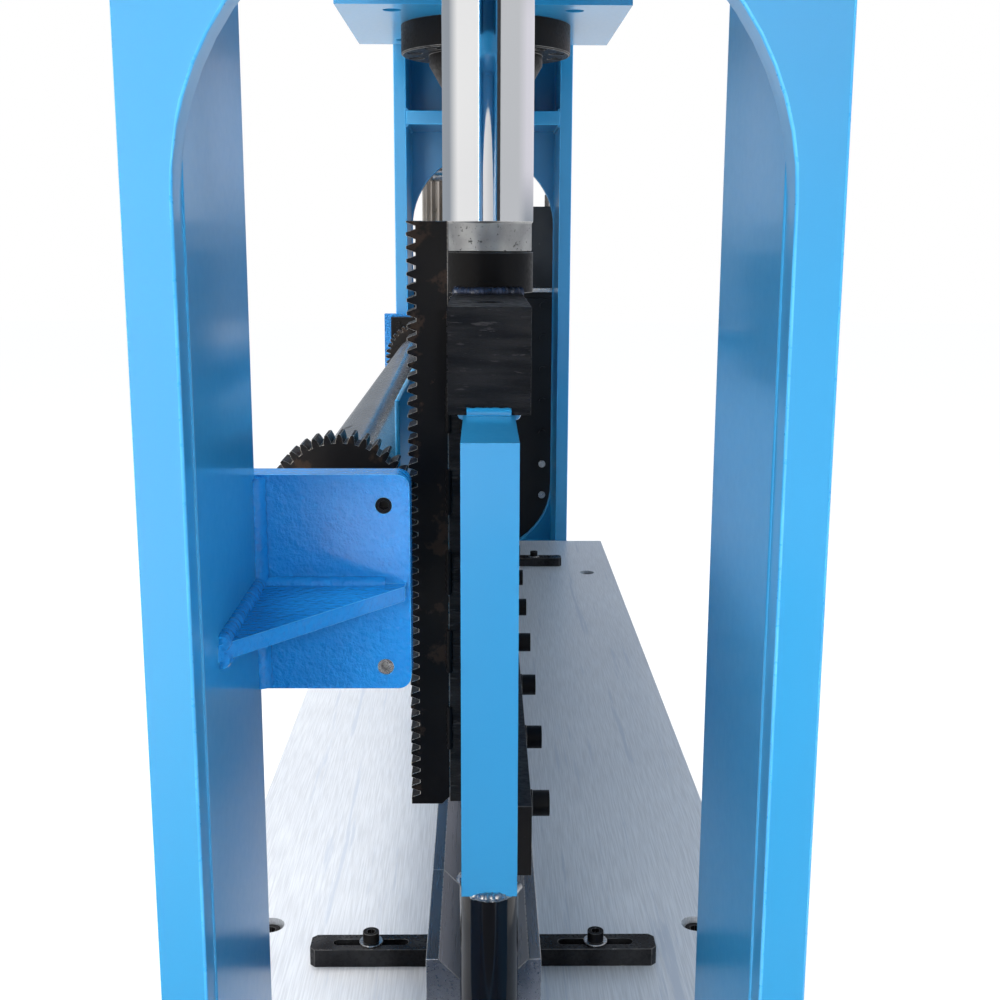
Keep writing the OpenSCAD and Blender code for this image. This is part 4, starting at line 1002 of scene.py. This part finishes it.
nut_radius = 0.0165
clip_size = (0.016, 0.030, 0.041)
clip_z = (cover_high.z * 1000 + pipe_z + 15) / 2
crown_nuts = [(at(x, y, pipe_z), 0.030) for x in (cylinder_x, -cylinder_x) for y in (front_y, rear_y)]
manifold_nuts = [(at(manifold_x, y, manifold_port_z + 12), 0.024) for y in (front_y, inner_y)]
for place, depth in crown_nuts + manifold_nuts:
    bpy.ops.mesh.primitive_cylinder_add(vertices=6, radius=nut_radius, depth=depth, location=place)
    nut = chamfered(bpy.context.object, 0.0012)
    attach(nut, "machine_frame")
    parts.append(nut)
for y in (front_y, rear_y):
    for x in (0, flange_end):
        bpy.ops.mesh.primitive_cube_add(size=1, location=at(x, y, clip_z))
        bpy.context.object.scale = clip_size
        clip = chamfered(bpy.context.object, 0.002)
        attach(clip, "machine_frame")
        parts.append(clip)
print("pipe parts:", len(parts))

# %% Put the pipes in the CAD pipes' place
pipes = joined("oil_pipes_drawn", parts)
bpy.data.objects.remove(dressed.pop("oil_pipes"))
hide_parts("oil_pipes")
print("pipes:", len(pipes.data.polygons), "faces")

# %% [markdown]
# ## Pieces with two finishes
# A rod is one piece of steel, but its foot was never plated. It could be cut in two, yet then it
# would no longer be the CAD's rod. Giving some of its faces another material is enough. The
# same is done for the lower screw heads of the tank's cover and of the bearing brackets,
# which are plated while the others are black.


# %% Change the finish of some faces
def refinish(name, material, chosen):
    piece = dressed[name]
    piece.data.materials.append(material)
    last_slot = len(piece.data.materials) - 1
    picked = [face for face in piece.data.polygons if chosen(face.center)]
    for face in picked:
        face.material_index = last_slot
    print(name, "faces changed:", len(picked))


band_height = 0.0262
head_height = 0.0055
bright_below = 0.94
band_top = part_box("piston_rods")[0].z + band_height
heads_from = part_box("tank_cover")[0].x + head_height
screws_low, screws_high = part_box("bracket_screws")
lower_screws = (screws_low.z + screws_high.z) / 2
refinish("piston_rods", speckled, lambda place: place.z < band_top)
refinish("tank_cover", bright, lambda place: place.x < heads_from and place.z < bright_below)
refinish("bracket_screws", tube_steel, lambda place: place.z < lower_screws)

# %% [markdown]
# ## Small fittings
# What a hand touches or an eye reads needs more than a rounded CAD block. These helpers add a
# disc or a block at its place and size, apply that to the mesh, chamfer its edges and
# hand it to the frame. Without them each fitting would take the same ten lines.


# %% Shaping helpers
def shaped(made, material, body, chamfer=0.0):
    as_active(made)
    bpy.ops.object.transform_apply(location=True, rotation=True, scale=True)
    if chamfer > 0:
        rounding = made.modifiers.new("chamfer", "BEVEL")
        rounding.width = chamfer
        rounding.segments = 3
        bpy.ops.object.modifier_apply(modifier=rounding.name)
    bpy.ops.object.shade_smooth_by_angle(angle=smooth_angle)
    made.data.materials.append(material)
    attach(made, body)
    return made


def disc_y(place, radius, depth, material, chamfer=0.0, sides=48):
    bpy.ops.mesh.primitive_cylinder_add(vertices=sides, radius=radius, depth=depth, location=place,
                                        rotation=(math.radians(90), 0, 0))
    return shaped(bpy.context.object, material, "machine_frame", chamfer)


def block(place, size, material, chamfer=0.0, turn=0.0):
    bpy.ops.mesh.primitive_cube_add(size=1, location=place, rotation=(0, turn, 0))
    bpy.context.object.scale = size
    return shaped(bpy.context.object, material, "machine_frame", chamfer)


print("fitting helpers ready")

# %% [markdown]
# ## Pressure gauge
# The gauge on the manifold shows the oil's pressure. The CAD has its round case. A dial could be
# a picture, but then it would need a file. Here a thin disc, a ring and small raised
# ticks make it: every fifth tick is longer, and the needle rests near zero.

# %% Gauge ring and dial
bezel_radius = 0.0285
bezel_thickness = 0.0024
dial_radius = 0.0270

gauge = Vector((manifold_low.x + 0.076, manifold_low.y, manifold_low.z + 0.212))
dial_face = gauge - Vector((0, 0.0004, 0))
bpy.ops.mesh.primitive_torus_add(location=gauge, rotation=(math.radians(90), 0, 0),
                                 major_radius=bezel_radius, minor_radius=bezel_thickness,
                                 major_segments=64, minor_segments=12)
bezel = shaped(bpy.context.object, bright, "machine_frame")
bezel.name = "gauge_bezel"
dial = disc_y(dial_face, dial_radius, 0.0012, white_plastic, 0.0003)
dial.name = "gauge_dial"
print("gauge at", [round(v, 3) for v in gauge])

# %% Gauge ticks and needle
tick_ring = 0.0235
tick_from, tick_step, tick_count = -225, 9, 31
long_tick, short_tick = 0.0042, 0.0022
needle_reach = 0.008
needle_turn = math.radians(-205)

marks = []
for step in range(tick_count):
    angle = math.radians(tick_from + tick_step * step)
    length = long_tick if step % 5 == 0 else short_tick
    reach = tick_ring - length / 2
    place = dial_face + Vector((reach * math.cos(angle), -0.0007, -reach * math.sin(angle)))
    marks.append(block(place, (length, 0.0003, 0.0006), black_plastic, turn=angle))
along = Vector((needle_reach * math.cos(needle_turn), -0.0012, -needle_reach * math.sin(needle_turn)))
marks.append(block(dial_face + along, (0.022, 0.0005, 0.0011), black_plastic, 0.0001,
                   needle_turn))
hub_at = dial_face - Vector((0, 0.0014, 0))
marks.append(disc_y(hub_at, 0.0030, 0.0012, black_plastic, 0.0003))
joined("gauge_marks", marks)
print("gauge marks:", tick_count, "ticks, a needle and its hub")

# %% [markdown]
# ## Lid of the control box
# A switch box is closed by a lid on a rubber seal, with a screw in each corner. Engraving lines
# in the box would be quicker, but a lid with its own edge and a dark seal under it throws the
# thin shadow line that tells the eye how the box opens.

# %% Lid and seal
seal_margin, lid_margin = 0.008, 0.012
seal_depth, lid_depth = 0.0024, 0.0032

box_low, box_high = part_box("control_box")
lid_y = -0.235 + middle.y
lid_mid = Vector(((box_low.x + box_high.x) / 2, lid_y, (box_low.z + box_high.z) / 2))
box_size = Vector((box_high.x - box_low.x, 0, box_high.z - box_low.z))
seal_size = (box_size.x - seal_margin, seal_depth, box_size.z - seal_margin)
lid_size = (box_size.x - lid_margin, lid_depth, box_size.z - lid_margin)
seal = block(lid_mid - Vector((0, 0.0002, 0)), seal_size, black_plastic, 0.0004)
seal.name = "box_seal"
lid = block(lid_mid - Vector((0, 0.0016, 0)), lid_size, grey, 0.0012)
lid.name = "box_lid"
print("lid on the box's face at", round(lid_y, 4))

# %% Lid screws
screw_x = box_size.x / 2 - 0.015
screw_z = box_size.z / 2 - 0.015
lid_screws = []
for x in both:
    for z in both:
        place = lid_mid + Vector((x * screw_x, -0.0038, z * screw_z))
        slot_at = place - Vector((0, 0.0011, 0))
        lid_screws.append(disc_y(place, 0.0042, 0.0022, bright, 0.0006, 24))
        lid_screws.append(block(slot_at, (0.0070, 0.0004, 0.0011), black_plastic,
                                turn=0.6 * x + 0.3 * z))
joined("box_lid_screws", lid_screws)
print("lid screws:", len(lid_screws) // 2)
